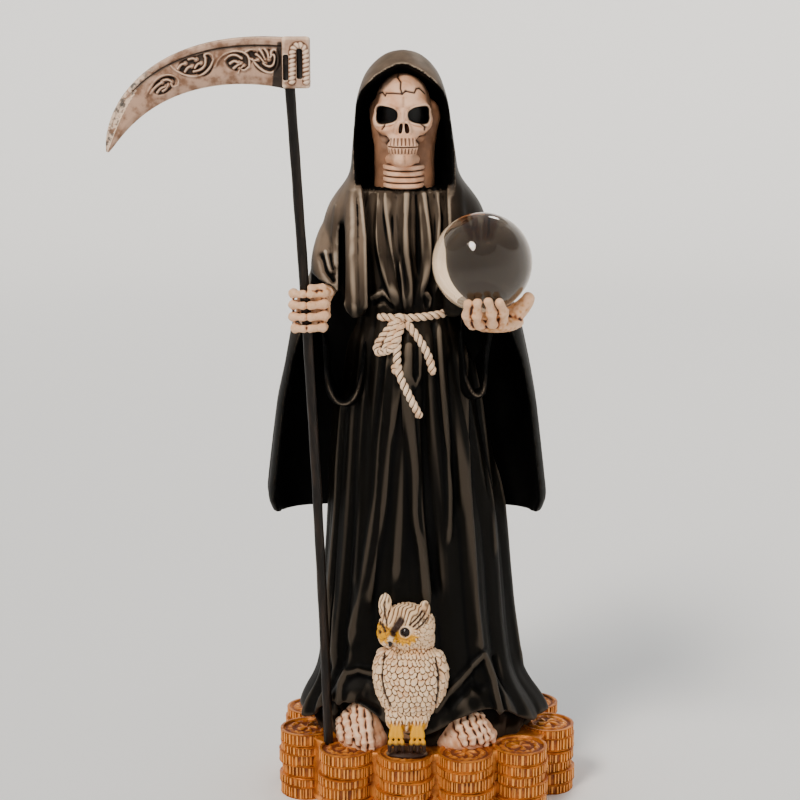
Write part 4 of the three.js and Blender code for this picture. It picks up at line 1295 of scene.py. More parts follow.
def coin_relief(points, turn):
    """Generic relief on a coin's face: a ring of leaves round a lumpy flower."""
    reach = np.hypot(points[:, 0], points[:, 1])
    angle = np.arctan2(points[:, 1], points[:, 0]) + turn
    leaves = bump(reach, 0, (9.4, 0), (1.5, 1)) * (0.4 + 0.6 * np.abs(np.sin(7 * angle + reach)))
    petals = smooth((7.2 - reach) / 2) * (0.5 + 0.5 * np.cos(5 * angle + 0.5 * reach)) * smooth(reach / 3)
    heart = bump(reach, 0, (0, 0), (1.6, 1))
    return np.where(reach < 12.2, 1.4 * leaves + 1.4 * petals + heart, 0)


def coin_stack(index, edge, face):
    """Six uneven coins, each a little off the one under it and never quite level."""
    coins = []
    centre = stack_centre(index)
    shares = 1 + 0.2 * np.sin(2.3 * np.arange(COINS_HIGH) + 1.9 * index)
    levels = COIN_TOP * np.concatenate([[0], np.cumsum(shares)]) / shares.sum()
    for i in range(COINS_HIGH):
        top = i == COINS_HIGH - 1
        source = face if top else edge
        obj = source.copy()
        obj.data = source.data.copy()
        bpy.context.collection.objects.link(obj)
        turn = 2.4 * i + 1.7 * index
        off = COIN_SLIP if i and not top else 0
        spin = 0.9 * i + 0.7 * index
        lean = 0 if top else 0.02 * math.sin(2.1 * i + index)
        ceiling = COIN_TOP + (0.9 if top else 0)
        middle = (levels[i] + levels[i + 1]) / 2
        stretch = (levels[i + 1] - levels[i]) / COIN_THICKNESS

        def place(points):
            reach = np.hypot(points[:, 0], points[:, 1])
            angle = np.arctan2(points[:, 1], points[:, 0])
            angle = angle + 0.05 * np.sin(7 * angle + 2 * i) + 0.03 * np.sin(17 * angle + index)
            dents = 0.013 * np.sin(3 * angle + 2.3 * i + index) - 0.006 * np.sin(11 * angle + i) ** 2
            reach = reach * (0.985 + dents)
            up = points[:, 2] * stretch
            if top:
                face_on = (reach < 12.4) & (points[:, 2] > 0.5)
                up = up + np.where(face_on, coin_relief(points, index), 0)
            else:
                up = up + 0.3 * np.sin(3 * angle + i) + 0.14 * np.sin(13 * angle + 4 * i)
            x = reach * np.cos(angle + spin)
            y = reach * np.sin(angle + spin)
            up = np.clip(up + lean * x + middle, 0, ceiling)
            x = x + centre[0] + off * math.cos(turn)
            y = y + centre[1] + off * math.sin(turn)
            return np.stack([x, y, up], axis=1)

        coins.append(move(obj, place))
    return join(coins, f"coin_stack_{index + 1}")


def coins(paint):
    edge = coin("edge_coin", 0)
    face = coin("face_coin", 9)
    for index in range(len(STACK_ANGLES)):
        stack = coin_stack(index, edge, face)
        mark_hollows(stack, 2, 0.5)
        x, y, z = (read_points(stack) / MM - stack_centre(index)).T
        on_face = (z > COIN_TOP - 2) & (np.hypot(x, y) < 12.6)
        sunk = 0.9 - 0.7 * smooth((z - COIN_TOP + 1.3) / 1.7)
        mark(stack, "hollow", np.where(on_face, sunk, read_mark(stack, "hollow")))
        dress(stack, paint)
        for polygon in stack.data.polygons:
            polygon.use_smooth = False
    bpy.data.objects.remove(edge)
    bpy.data.objects.remove(face)


def ground(paint):
    """The lumpy gold ground between the stacks."""

    def shape(u, v):
        angle = (u - 0.5) * TAU
        rows = [[0, 0, 0], [0.02, 0, 1], [0.2, GROUND - 0.6, 1], [0.22, GROUND, 0.99], [1, GROUND, 0]]
        z, open_ = between(rows, v)
        x, y = level_ring(angle, RING_HALF_X, RING_HALF_Y, RING_HALF_Y, 2.5)
        return open_ * x, RING_Y + open_ * y, z

    bed = skin("gold_ground", 260, 160, shape)
    swell(bed, lambda points, normals: 0.5 * grain(points, 4.5, 1) * (points[:, 2] > 1))
    mark_hollows(bed, 5, 1.2)
    return dress(bed, paint)


# Scythe

SHAFT_RADIUS = 2.6
SHAFT_LENGTH = 358
SHAFT_BOW = 1.8
HEAD_HEIGHT = 25
HEAD_WIDTH = 13.5
HEAD_THICKNESS = 11
HEAD_SOCKET_DEPTH = 9
# How far the head's middle lies beside the shaft, as a share of its width
HEAD_OFFSET = 0.24
BLADE_WIDTH = 25
BLADE_BACK = 7
BLADE_REACH = 91
BLADE_DROP = 43.5
# Where the blade's curve is ended, just short of its point
BLADE_END = 0.997
GRIP = on_grid(-62.7, -50, 237.5)
SHAFT_FOOT = stack_centre(SCYTHE_STACK) + np.array([-0.64 * COIN_RADIUS, 0.52 * COIN_RADIUS, COIN_TOP - 2])
HEAD_BOTTOM = SHAFT_FOOT[2] + SHAFT_LENGTH - HEAD_SOCKET_DEPTH
BLADE_SECTION = [
    # place across the blade from its back, half thickness
    [0, 0],
    [0.008, 0.2],
    [0.03, 0.4],
    [0.1, 0.5],
    [0.165, 0.46],
    [0.185, 0.3],
    [0.21, 0.36],
    [0.5, 0.36],
    [0.8, 0.3],
    [0.94, 0.14],
    [1, 0.02],
]


def shaft_at(z):
    """The shaft's middle: it starts at the foot, bows a little and passes through the fist."""
    lean = (GRIP - SHAFT_FOOT) / (GRIP[2] - SHAFT_FOOT[2])
    t = (z - SHAFT_FOOT[2]) / SHAFT_LENGTH
    g = (GRIP[2] - SHAFT_FOOT[2]) / SHAFT_LENGTH
    x = SHAFT_FOOT[0] + lean[0] * (z - SHAFT_FOOT[2]) + 4 * SHAFT_BOW * t * (g - t)
    return x, SHAFT_FOOT[1] + lean[1] * (z - SHAFT_FOOT[2])


def shaft(paint):
    def shape(u, v):
        angle = u * TAU
        share, open_ = open_ends(v, 0.005)
        z = SHAFT_FOOT[2] + SHAFT_LENGTH * share
        x, y = shaft_at(z)
        worn = 0.97 + 0.03 * np.sin(5 * angle + z / 23) * np.sin(z / 9) - 0.02 * np.sin(z / 4.1 + 2 * angle)
        radius = SHAFT_RADIUS * worn * open_
        return x + radius * np.cos(angle), y + radius * np.sin(angle), z

    rod = skin("scythe_shaft_rod", 24, 300, shape)
    mark_hollows(rod, 4, 1)
    return dress(rod, paint, "scythe_shaft")


def blade_curve():
    """Places and directions along the middle of the blade, from the head to its point."""
    x, y = shaft_at(HEAD_BOTTOM + HEAD_HEIGHT / 2)
    start = np.array([x + 0.1 * HEAD_WIDTH, HEAD_BOTTOM + 0.48 * HEAD_HEIGHT])
    point = start + np.array([-BLADE_REACH, -BLADE_DROP])
    leave = start + np.array([-0.48 * BLADE_REACH, 0.15 * BLADE_DROP])
    arrive = point + np.array([0.11 * BLADE_REACH, 0.79 * BLADE_DROP])
    t = np.linspace(0, BLADE_END, 200)[:, None]
    curve = (1 - t) ** 3 * start + 3 * (1 - t) ** 2 * t * leave + 3 * (1 - t) * t**2 * arrive + t**3 * point
    along = np.gradient(curve, axis=0)
    along /= np.linalg.norm(along, axis=1)[:, None]
    return t[:, 0], curve, along, y


# Carved lines on the blade: half width in millimetres, then places along the blade and across it
SCROLLS = [
    [
        0.62, (0.145, 0.47), (0.125, 0.62), (0.092, 0.73), (0.062, 0.73),
        (0.046, 0.59), (0.045, 0.42), (0.055, 0.28),
    ],
    [0.7, (0.055, 0.28), (0.065, 0.25), (0.075, 0.31), (0.073, 0.38)],
    [0.6, (0.1, 0.56), (0.085, 0.61), (0.067, 0.6), (0.057, 0.5), (0.06, 0.38), (0.07, 0.36), (0.077, 0.43)],
    [0.66, (0.117, 0.27), (0.105, 0.36), (0.095, 0.47)],
    [0.66, (0.097, 0.26), (0.085, 0.35), (0.082, 0.47)],
    [0.66, (0.13, 0.37), (0.115, 0.43), (0.097, 0.54)],
    [
        0.62, (0.3, 0.57), (0.277, 0.4), (0.245, 0.3), (0.205, 0.28),
        (0.172, 0.33), (0.155, 0.46), (0.157, 0.63),
    ],
    [0.7, (0.157, 0.63), (0.18, 0.72), (0.197, 0.66)],
    [0.62, (0.255, 0.45), (0.232, 0.36), (0.207, 0.37), (0.187, 0.45)],
    [0.66, (0.235, 0.54), (0.217, 0.49), (0.2, 0.54)],
    [0.66, (0.222, 0.65), (0.207, 0.6), (0.192, 0.56)],
    [0.62, (0.205, 0.76), (0.197, 0.68), (0.18, 0.61)],
    [0.7, (0.155, 0.46), (0.137, 0.51), (0.122, 0.48)],
    [0.7, (0.172, 0.33), (0.155, 0.27), (0.137, 0.27)],
    [
        0.62, (0.482, 0.24), (0.475, 0.37), (0.45, 0.55), (0.412, 0.68),
        (0.365, 0.71), (0.322, 0.58), (0.302, 0.42),
    ],
    [0.7, (0.302, 0.42), (0.302, 0.29), (0.32, 0.24), (0.335, 0.26), (0.332, 0.35)],
    [0.7, (0.332, 0.34), (0.34, 0.5), (0.365, 0.58), (0.397, 0.57)],
    [0.66, (0.46, 0.38), (0.44, 0.31), (0.422, 0.33)],
    [0.66, (0.435, 0.51), (0.415, 0.43), (0.397, 0.44)],
    [0.66, (0.402, 0.26), (0.385, 0.26), (0.372, 0.32)],
    [0.66, (0.387, 0.5), (0.37, 0.42), (0.355, 0.43)],
    [
        0.62, (0.657, 0.59), (0.617, 0.46), (0.567, 0.35), (0.522, 0.37),
        (0.487, 0.49), (0.475, 0.65), (0.49, 0.76),
    ],
    [0.7, (0.49, 0.76), (0.517, 0.76), (0.517, 0.66)],
    [0.66, (0.63, 0.6), (0.59, 0.52), (0.552, 0.51)],
    [0.66, (0.6, 0.68), (0.572, 0.63), (0.547, 0.66)],
    [0.66, (0.542, 0.48), (0.52, 0.52), (0.51, 0.62)],
    [0.66, (0.572, 0.72), (0.552, 0.72), (0.532, 0.65)],
]
# The sunk ground round them: place along and across, half length and half height in millimetres
SCROLL_GROUNDS = [
    [0.087, 0.5, 6, 6],
    [0.2, 0.5, 5.9, 4.9],
    [0.15, 0.4, 3, 3],
    [0.402, 0.42, 6.7, 4.7],
    [0.35, 0.47, 5, 5.6],
    [0.55, 0.58, 7, 4.1],
]


def blade_width(t):
    """The blade's width at a place along it: it narrows slowly, and then to a point."""
    return BLADE_WIDTH * (1 - 0.34 * t**0.7) * (1 - t**3.6) ** 0.75 + 0.4


def carving(s, a, length):
    """How far the carved lines stand up, and where the ground round them is sunk."""

    def place(along, across):
        return np.array([along / BLADE_END * length, across * blade_width(along)])

    relief = 0
    for wide, *path in SCROLLS:
        line = [place(*step) for step in path]
        relief = np.maximum(relief, stroke(s, a, rounded(line), wide))
        if len(path) == 3:
            relief = np.maximum(relief, bump(s, a, line[2], (1.15, 1.05)))
    ground = 0
    for along, across, half_length, half_height in SCROLL_GROUNDS:
        middle = place(along, across)
        far = np.hypot((s - middle[0]) / half_length, (a - middle[1]) / half_height)
        ground = np.maximum(ground, smooth((1.1 - far) / 0.25))
    return relief, ground


def blade():
    """A curved blade with a ribbed back, scrolls in a dark sunk ground and a worn bevel at its point."""
    keys, curve, along, y = blade_curve()
    length = np.linalg.norm(np.diff(curve, axis=0), axis=1).sum()

    def ridge(t, across):
        """The bevel's edge: it leaves the rib and runs down to the point."""
        line = 0.23 + 1.2 * np.clip(t - 0.66, 0, 1)
        return line, np.exp(-(((across - line) / 0.03) ** 2)) * smooth((t - 0.66) / 0.05)

    def shape(u, v):
        t = BLADE_END * v
        across = np.where(u < 0.5, 2 * u, 2 - 2 * u)
        width = blade_width(t)
        face = np.where(u < 0.5, -1.0, 1.0)
        thick = BLADE_BACK * mix(1, 0.45, t**1.5)
        half = between(BLADE_SECTION, across)[0] * thick
        open_ = open_ends(v, 0.002)[1]
        relief, ground = carving(v * length, across * width, length)
        lines = smooth((across - 0.2) / 0.04) * smooth((0.97 - across) / 0.05)
        carved = relief * lines - 1.1 * ground * lines * (1 - relief)
        half = half + carved * np.where(face < 0, 1, 0.7) + 0.35 * ridge(t, across)[1]
        x = np.interp(t, keys, curve[:, 0])
        z = np.interp(t, keys, curve[:, 1])
        dx = np.interp(t, keys, along[:, 0])
        dz = np.interp(t, keys, along[:, 1])
        side = (across - 0.5) * width * open_
        return x - dz * side, y + face * np.maximum(half, 0.05) * open_, z + dx * side

    piece = skin("blade", 190, 520, shape)
    mark_hollows(piece, 5, 1.3)
    points = read_points(piece) / MM
    far = np.hypot(points[:, 0, None] - curve[None, ::4, 0], points[:, 2, None] - curve[None, ::4, 1])
    nearest = 4 * far.argmin(axis=1)
    off = points[:, [0, 2]] - curve[nearest]
    t = keys[nearest]
    width = blade_width(t)
    across = 0.5 + (off[:, 1] * along[nearest, 0] - off[:, 0] * along[nearest, 1]) / width
    s = t / BLADE_END * length + (off * along[nearest]).sum(axis=1)
    relief, ground = carving(s, across * width, length)
    rib = np.exp(-(((across - 0.2) / 0.034) ** 2)) * smooth((0.72 - t) / 0.06)
    # Painted shadow: a dark band at the blade's root, where it meets the block
    root = smooth((6 + 1.3 * across - s) / 0.5) * smooth((across - 0.08) / 0.04)
    sunk = 0.92 * ground * smooth((0.5 - relief) / 0.3) * smooth((across - 0.2) / 0.04)
    mark(piece, "stain_and_shade", np.maximum.reduce([sunk, 0.95 * rib, 0.95 * root]))
    line, edge = ridge(t, across)
    mark(piece, "worn", smooth((line - across) / 0.03) * smooth((t - 0.5) / 0.15))
    plain = smooth((t - 0.68) / 0.06) * smooth((0.3 - across) / 0.04)
    mark(piece, "hollow", mix(read_mark(piece, "hollow"), 0.5, plain) * (1 - 0.8 * edge))
    return piece


BLOCK_CELL = 0.3


def scythe_head(paint):
    piece = blade()
    x, y = shaft_at(HEAD_BOTTOM)
    middle = (x + HEAD_OFFSET * HEAD_WIDTH, y, HEAD_BOTTOM + HEAD_HEIGHT / 2)
    parts = [bevelled_block("scythe_block", middle, (HEAD_WIDTH, HEAD_THICKNESS, HEAD_HEIGHT), 1.4, 3)]
    slots = []
    for face in (-1, 1):
        face_y = y + face * HEAD_THICKNESS / 2

        def at(across, up):
            aside = x + (HEAD_OFFSET + across) * HEAD_WIDTH
            return np.array([aside, face_y, HEAD_BOTTOM + (0.5 + up) * HEAD_HEIGHT])

        arch = [at(0.13 + 0.24 * math.cos(a), 0.2 + 0.14 * math.sin(a)) for a in np.linspace(0, math.pi, 7)]
        border = [at(0.39, -0.43), at(0.38, -0.1), *arch, at(-0.12, -0.1), at(-0.14, -0.43)]

        def cord(turn, distance):
            return 0.86 + 0.3 * np.abs(np.cos(0.5 * turn - 1.5 * distance))

        parts.append(tube("border", border, [1.4] * 4, 30, 260, cord))
        for across, up, width, height in ((0.14, -0.03, 3, 14.5), (-0.36, -0.1, 2.8, 12.5)):
            slots.append((at(across, up), width, height))
    block = melt(parts, "scythe_block", BLOCK_CELL, 1)
    for place, width, height in slots:
        cut(block, [bevelled_block("slot", place, (width, 4.4, height), 0.8, 2)])
    mark_hollows(block, 7, 3.4)
    px, py, pz = read_points(block).T / MM
    inside = 0
    for place, width, height in slots:
        level = smooth((width / 2 + 0.3 - np.abs(px - place[0])) / 0.3)
        inside = np.maximum(inside, level * smooth((height / 2 + 0.3 - np.abs(pz - place[2])) / 0.3))
    mark(block, "stain_and_shade", inside * smooth((HEAD_THICKNESS / 2 - 0.5 - np.abs(py - y)) / 0.4))
    return dress(join([piece, block], "scythe_blade"), paint, "scythe_head")


# Hands

BONE_CELL = 0.42


def bone_row(points, radius, along):
    """A row of small bones, thick at each joint and thin between."""
    radii = [radius * size for _ in points[1:] for size in (1, 0.76, 0.66, 0.76)] + [radius]
    return tube("bones", points, radii, 24, along)


def finish_hand(parts, name):
    hand = melt(parts, name, BONE_CELL, 2)
    swell(hand, lambda points, normals: 0.2 * grain(points, 0.8, 3) + 0.16 * grain(points, 2, 6))
    mark(hand, "aged", np.ones(len(hand.data.vertices)))
    return mark_hollows(hand, 22, 2.4)


def fist(paint):
    def at(x, y, z):
        return GRIP + UNIT * np.array([x, y, z])

    wrap = SHAFT_RADIUS + 0.4
    parts = [egg("palm", at(3.2, 8.6, 0), (9, 4.6, 11.6))]
    for i in range(4):
        z = 5.9 * (1.5 - i)
        short = 1.4 if i == 3 else 0
        middle = at(0.6, -wrap - 2.9, z - 0.2)
        knuckle = at(11.6 - short, -2.6, z + 0.5)
        left = at(-8.4 + short, -0.6, z - 0.3)
        parts.append(bone_row([at(9.6 - short, 6, z), knuckle, middle], 2.85, 50))
        parts.append(bone_row([middle, left, at(-5.4 + short, 6.4, z - 0.3)], 2.75, 50))
    wrist = on_grid(*SLEEVES[0]["wrist"])
    parts.append(tube("wrist", [wrist, at(7, 7, 3)], [3.4, 4], 32, 24))
    parts.append(bone_row([at(13, 3, 8.2), at(8.4, -3.4, 11.8), at(1.2, -5.6, 11.6)], 2.8, 50))
    hand = finish_hand(parts, "fist")
    return dress(hand, paint)


# The palm's direction under the ball, and the gap left for the ball in the hand
PALM_DIRECTION = 96
BALL_GAP = 0.3
# Each finger under the ball: direction and rise of its lower joint, and of its tip
FINGERS = [
    [-35, 22, -19, 54],
    [-14, 22, -7.6, 56],
    [23, 22, 4, 57],
    [52, 24, 17.6, 55],
]


def open_hand(paint):
    def round_ball(direction, rise, out):
        """A place round the ball, by its direction from the front and its angle from the lowest point."""
        d = math.radians(direction)
        r = math.radians(rise)
        reach = BALL_RADIUS + out * UNIT
        across = reach * math.sin(r)
        return BALL_CENTRE + np.array([across * math.sin(d), -across * math.cos(d), -reach * math.cos(r)])

    parts = [egg("palm", round_ball(PALM_DIRECTION, 13, 5.4), (14.5, 12, 5.6), -15)]
    for low, low_rise, high, tip in FINGERS:
        root = round_ball(mix(low, PALM_DIRECTION, 0.55), 10, 6)
        joint = round_ball(mix(low, high, 0.55), mix(low_rise, tip, 0.5), 5.2)
        points = [root, round_ball(low, low_rise, 7.6), joint, round_ball(high, tip, 2.9)]
        parts.append(bone_row(points, 3.05, 70))
    thumb = [round_ball(88, 16, 6), round_ball(80, 40, 6), round_ball(76, 60, 4)]
    parts.append(tube("thumb", thumb, [5.6, 4.6, 2.8], 28, 40))
    wrist = on_grid(*SLEEVES[1]["wrist"])
    parts.append(tube("wrist", [wrist, round_ball(150, 20, 6)], [6, 6], 32, 24))
    hand = melt(parts, "open_hand", BONE_CELL, 2)
    cut(hand, [egg("seat", BALL_CENTRE, (BALL_RADIUS + BALL_GAP,) * 3, 0, 96, 64)])
    hand = finish_hand([hand], "open_hand")
    return dress(hand, paint)


# Rope belt with its bow

ROPE_RADIUS = 2.1
ROPE_RUNS = [
    [(-27, 230.4), (-21, 230.2), (-14, 229.8), (-5, 230.4), (3, 231), (10, 232)],
    [(-17, 229), (-22, 223), (-28, 215), (-26.6, 210.6), (-21.5, 214), (-15, 228)],
    [(-15, 229), (-21, 219), (-23.6, 212), (-18.6, 214.6), (-13.6, 228)],
    [(-16, 228), (-16.6, 214), (-16.4, 203), (-10.4, 191), (-4.4, 178.5)],
    [(-12, 228), (-5, 219.5), (0.6, 209.5), (2.2, 200.5)],
]
ROPE_KNOTS = [
    # place from the left and up, how proud it stands, size
    [-14.5, 229, 2.2, 1.5],
    [-16.8, 204.5, 1.4, 1.15],
]


def rope(paint):
    def lay(x, z, proud):
        half, front = between(GOWN_SHAPE, z, 5)[:2]
        angle = math.asin(float((x - sway(z)) / half))
        near = x + np.linspace(-2, 2, 5)
        pleat = max(0.0, pleats(near, np.full(5, float(z))).max())
        fold = gown_folds(np.array([angle]), np.array([float(z)]))[0]
        return on_grid(x, float(-front * math.cos(angle) - proud - 0.8 * fold - pleat), z)

    def strands(turn, distance):
        return 0.54 + 0.52 * np.abs(np.cos(turn - 0.86 * distance)) ** 0.7

    runs = []
    for number, run in enumerate(ROPE_RUNS):
        proud = 3.2 if number == 2 else 1.2
        points = [lay(x, z, proud) for x, z in run]
        runs.append(tube("run", points, [ROPE_RADIUS] * 2, 32, 240, strands))
    for x, z, proud, size in ROPE_KNOTS:
        centre = lay(x, z, proud)
        ring = []
        for a in np.linspace(0.4, 5.6, 7):
            ring.append(centre + 1.35 * size * np.array([math.cos(a), -0.5 * math.sin(a), math.sin(a)]))
        runs.append(tube("knot", ring, [1.43 * size] * 2, 32, 90, strands))
    cord = join(runs, "rope_belt")
    mark_hollows(cord, 10, 4.6)
    return dress(cord, paint)


# Feet

FEET = [
    # name, place across, half widths, place of each row of bones across the foot, how far the rows fan out
    ["left_foot", -34.6, (14.2, 19, 22), (-0.94, -0.68, -0.4, -0.14, 0.12), 0.22],
    ["right_foot", 19, (18, 19, 17.5), (-0.3, -0.1, 0.1, 0.3, 0.48), 0.4],
]


def foot(name, x, half, bones, slant, paint):
    """A bony foot: a smooth instep with rows of small uneven bones that run down over it from the hem."""
    middle = on_grid(x, -25, 3)
    half = np.array(half)
    instep = egg("instep", middle, half)
    sole = egg("sole", middle, half * (1.06, 1.04, 0.62))
    for part in (instep, sole):
        move(part, lambda points: np.column_stack([points[:, :2], np.maximum(points[:, 2], GROUND - 1)]))
    parts = [instep, sole]
    for i, place in enumerate(bones):
        line = []
        for k in range(6):
            down = math.radians(14 + 15 * k + 14 * scatter(i, k))
            aside = place + slant * k / 5 + 0.13 * (scatter(k, i) - 0.5)
            keep = math.sqrt(1 - min(aside**2, 0.96))
            out = half * (aside, -keep * math.sin(down), keep * math.cos(down))
            line.append(middle + (1 + 0.016 * k) * out)
        parts.append(bone_row(line, 2.3 + 0.5 * float(scatter(i, 3)), 110))
    bony = melt(parts, name, BONE_CELL, 1)
    swell(bony, lambda points, normals: 0.3 * grain(points, 1.2, 5))
    mark(bony, "aged", 0.32 * np.ones(len(bony.data.vertices)))
    mark_hollows(bony, 12, 2.4)
    return dress(bony, paint)


# Owl

OWL_CELL = 0.4
OWL_HEAD = (1.2, 8, 67.8)
OWL_HEAD_TURN = math.radians(-28)
OWL_MASSES = [
    # name, place from the middle of its coin, half widths, turn
    ["body", (3.2, 9, 37.4), (19, 16.4, 22.5), 0],
    ["shoulders", (2.8, 9, 49), (15, 13, 11), 0],
    ["tail", (2.8, 14, 17.5), (11, 8, 17.2), 0],
    ["lap", (1.4, 5, 19), (10.6, 8.4, 10), 0],
    ["perch", (1, -2.6, 0.4), (11, 7, 3), 0],
    ["head", OWL_HEAD, (14.4, 13.6, 12), -28],
    ["near_cheek", (1.4, 0, 65.6), (8.4, 5, 8.6), 5],
    ["far_cheek", (-9.2, 3.4, 65.8), (5, 5, 8.4), -50],
    ["nape", (4.6, 9, 60), (10.8, 10, 9), 0],
    ["left_ear", (-10.3, 6, 78.4), (3.7, 3.2, 7.4), 0],
    ["right_ear", (10.4, 7, 76.6), (3, 2.6, 4.8), 0],
    ["ear_root", (5.6, 5.4, 75), (7, 4, 4), 0],
]
OWL_LIMBS = [
    # name, places, radii, depth as a share of the width
    ["wing", [(-10.6, 9, 54), (-13.4, 8, 43), (-12.2, 7, 34), (-8.2, 5, 26.6)], [2.5, 3.4, 3, 1], 2.4],
    ["wing", [(16.4, 9, 53), (19.4, 8, 43), (19.2, 7, 35), (17, 5, 27.4)], [2.5, 3.4, 3, 1], 2.4],
    ["leg", [(-3, 5, 27), (-4.8, 1, 19), (-5.2, -1, 13)], [7, 5, 3.6], 1],
    ["leg", [(8.4, 5, 26), (7, 1, 18), (7, -1, 12)], [7, 5, 3.6], 1],
    ["beak", [(-6.2, -4.6, 67), (-7.4, -8, 63.8), (-7.8, -7.2, 60.4)], [1.7, 1.8, 0.7], 1],
]
OWL_FEET = (-4.6, 6.6)
# Dark strokes on the owl, seen from the front: width, depth, places across and up
OWL_STROKES = [
    [0.55, 0.7, [(-10.6, 53), (-11.6, 43), (-10.4, 35), (-7, 27)]],
    [0.55, 0.7, [(15.8, 51), (17.2, 43), (17, 35), (15.8, 28)]],
    [0.5, 0.5, [(2.6, 71.8), (6, 74.4), (9.4, 77.2)]],
    [0.5, 0.5, [(4.4, 70.8), (7.6, 73.2), (10.6, 75.6)]],
    [0.45, 0.4, [(6, 69.6), (9, 71.4), (11.6, 73.6)]],
    [1.5, 0.3, [(-2.2, 74), (-4.4, 71), (-6, 67.4)]],
    [1.1, 0.3, [(-1.2, 73.4), (-3, 71), (-4.4, 68.6)]],
    [0.55, 0.3, [(-13.2, 71.4), (-12.6, 70.2)]],
    [0.6, 0.3, [(-11.6, 70.6), (-10.6, 68.4), (-10.2, 67.2)]],
    [0.5, 0.3, [(-12.9, 67), (-12.6, 66)]],
    [0.4, 0.3, [(-9.6, 72.6), (-9.2, 69)]],
    [0.45, 0.4, [(-10.4, 82), (-10.8, 77), (-10, 73)]],
]


def feathers(across, up):
    """Overlapping round feathers, each high at its tip and low at its root, with a groove round the tip."""
    height = np.zeros(np.shape(up))
    across = across + 0.3 * np.sin(1.1 * up + 0.4 * across)
    for row_step in (-1, 0, 1):
        row = np.floor(up) + row_step
        shift = 0.5 * (row % 2)
        for column_step in (-1, 0, 1):
            column = np.floor(across - shift) + column_step
            u = across - shift - column - 0.5 - 0.4 * (scatter(row, column) - 0.5)
            v = up - row - 0.5 - 0.5 * (scatter(column, row + 7) - 0.5)
            far = np.hypot(u / 0.62, v / 0.86)
            form = smooth((1 - far) / 0.3) * (0.62 - 0.42 * v)
            height = np.where(far < 1, form, height)
    return height


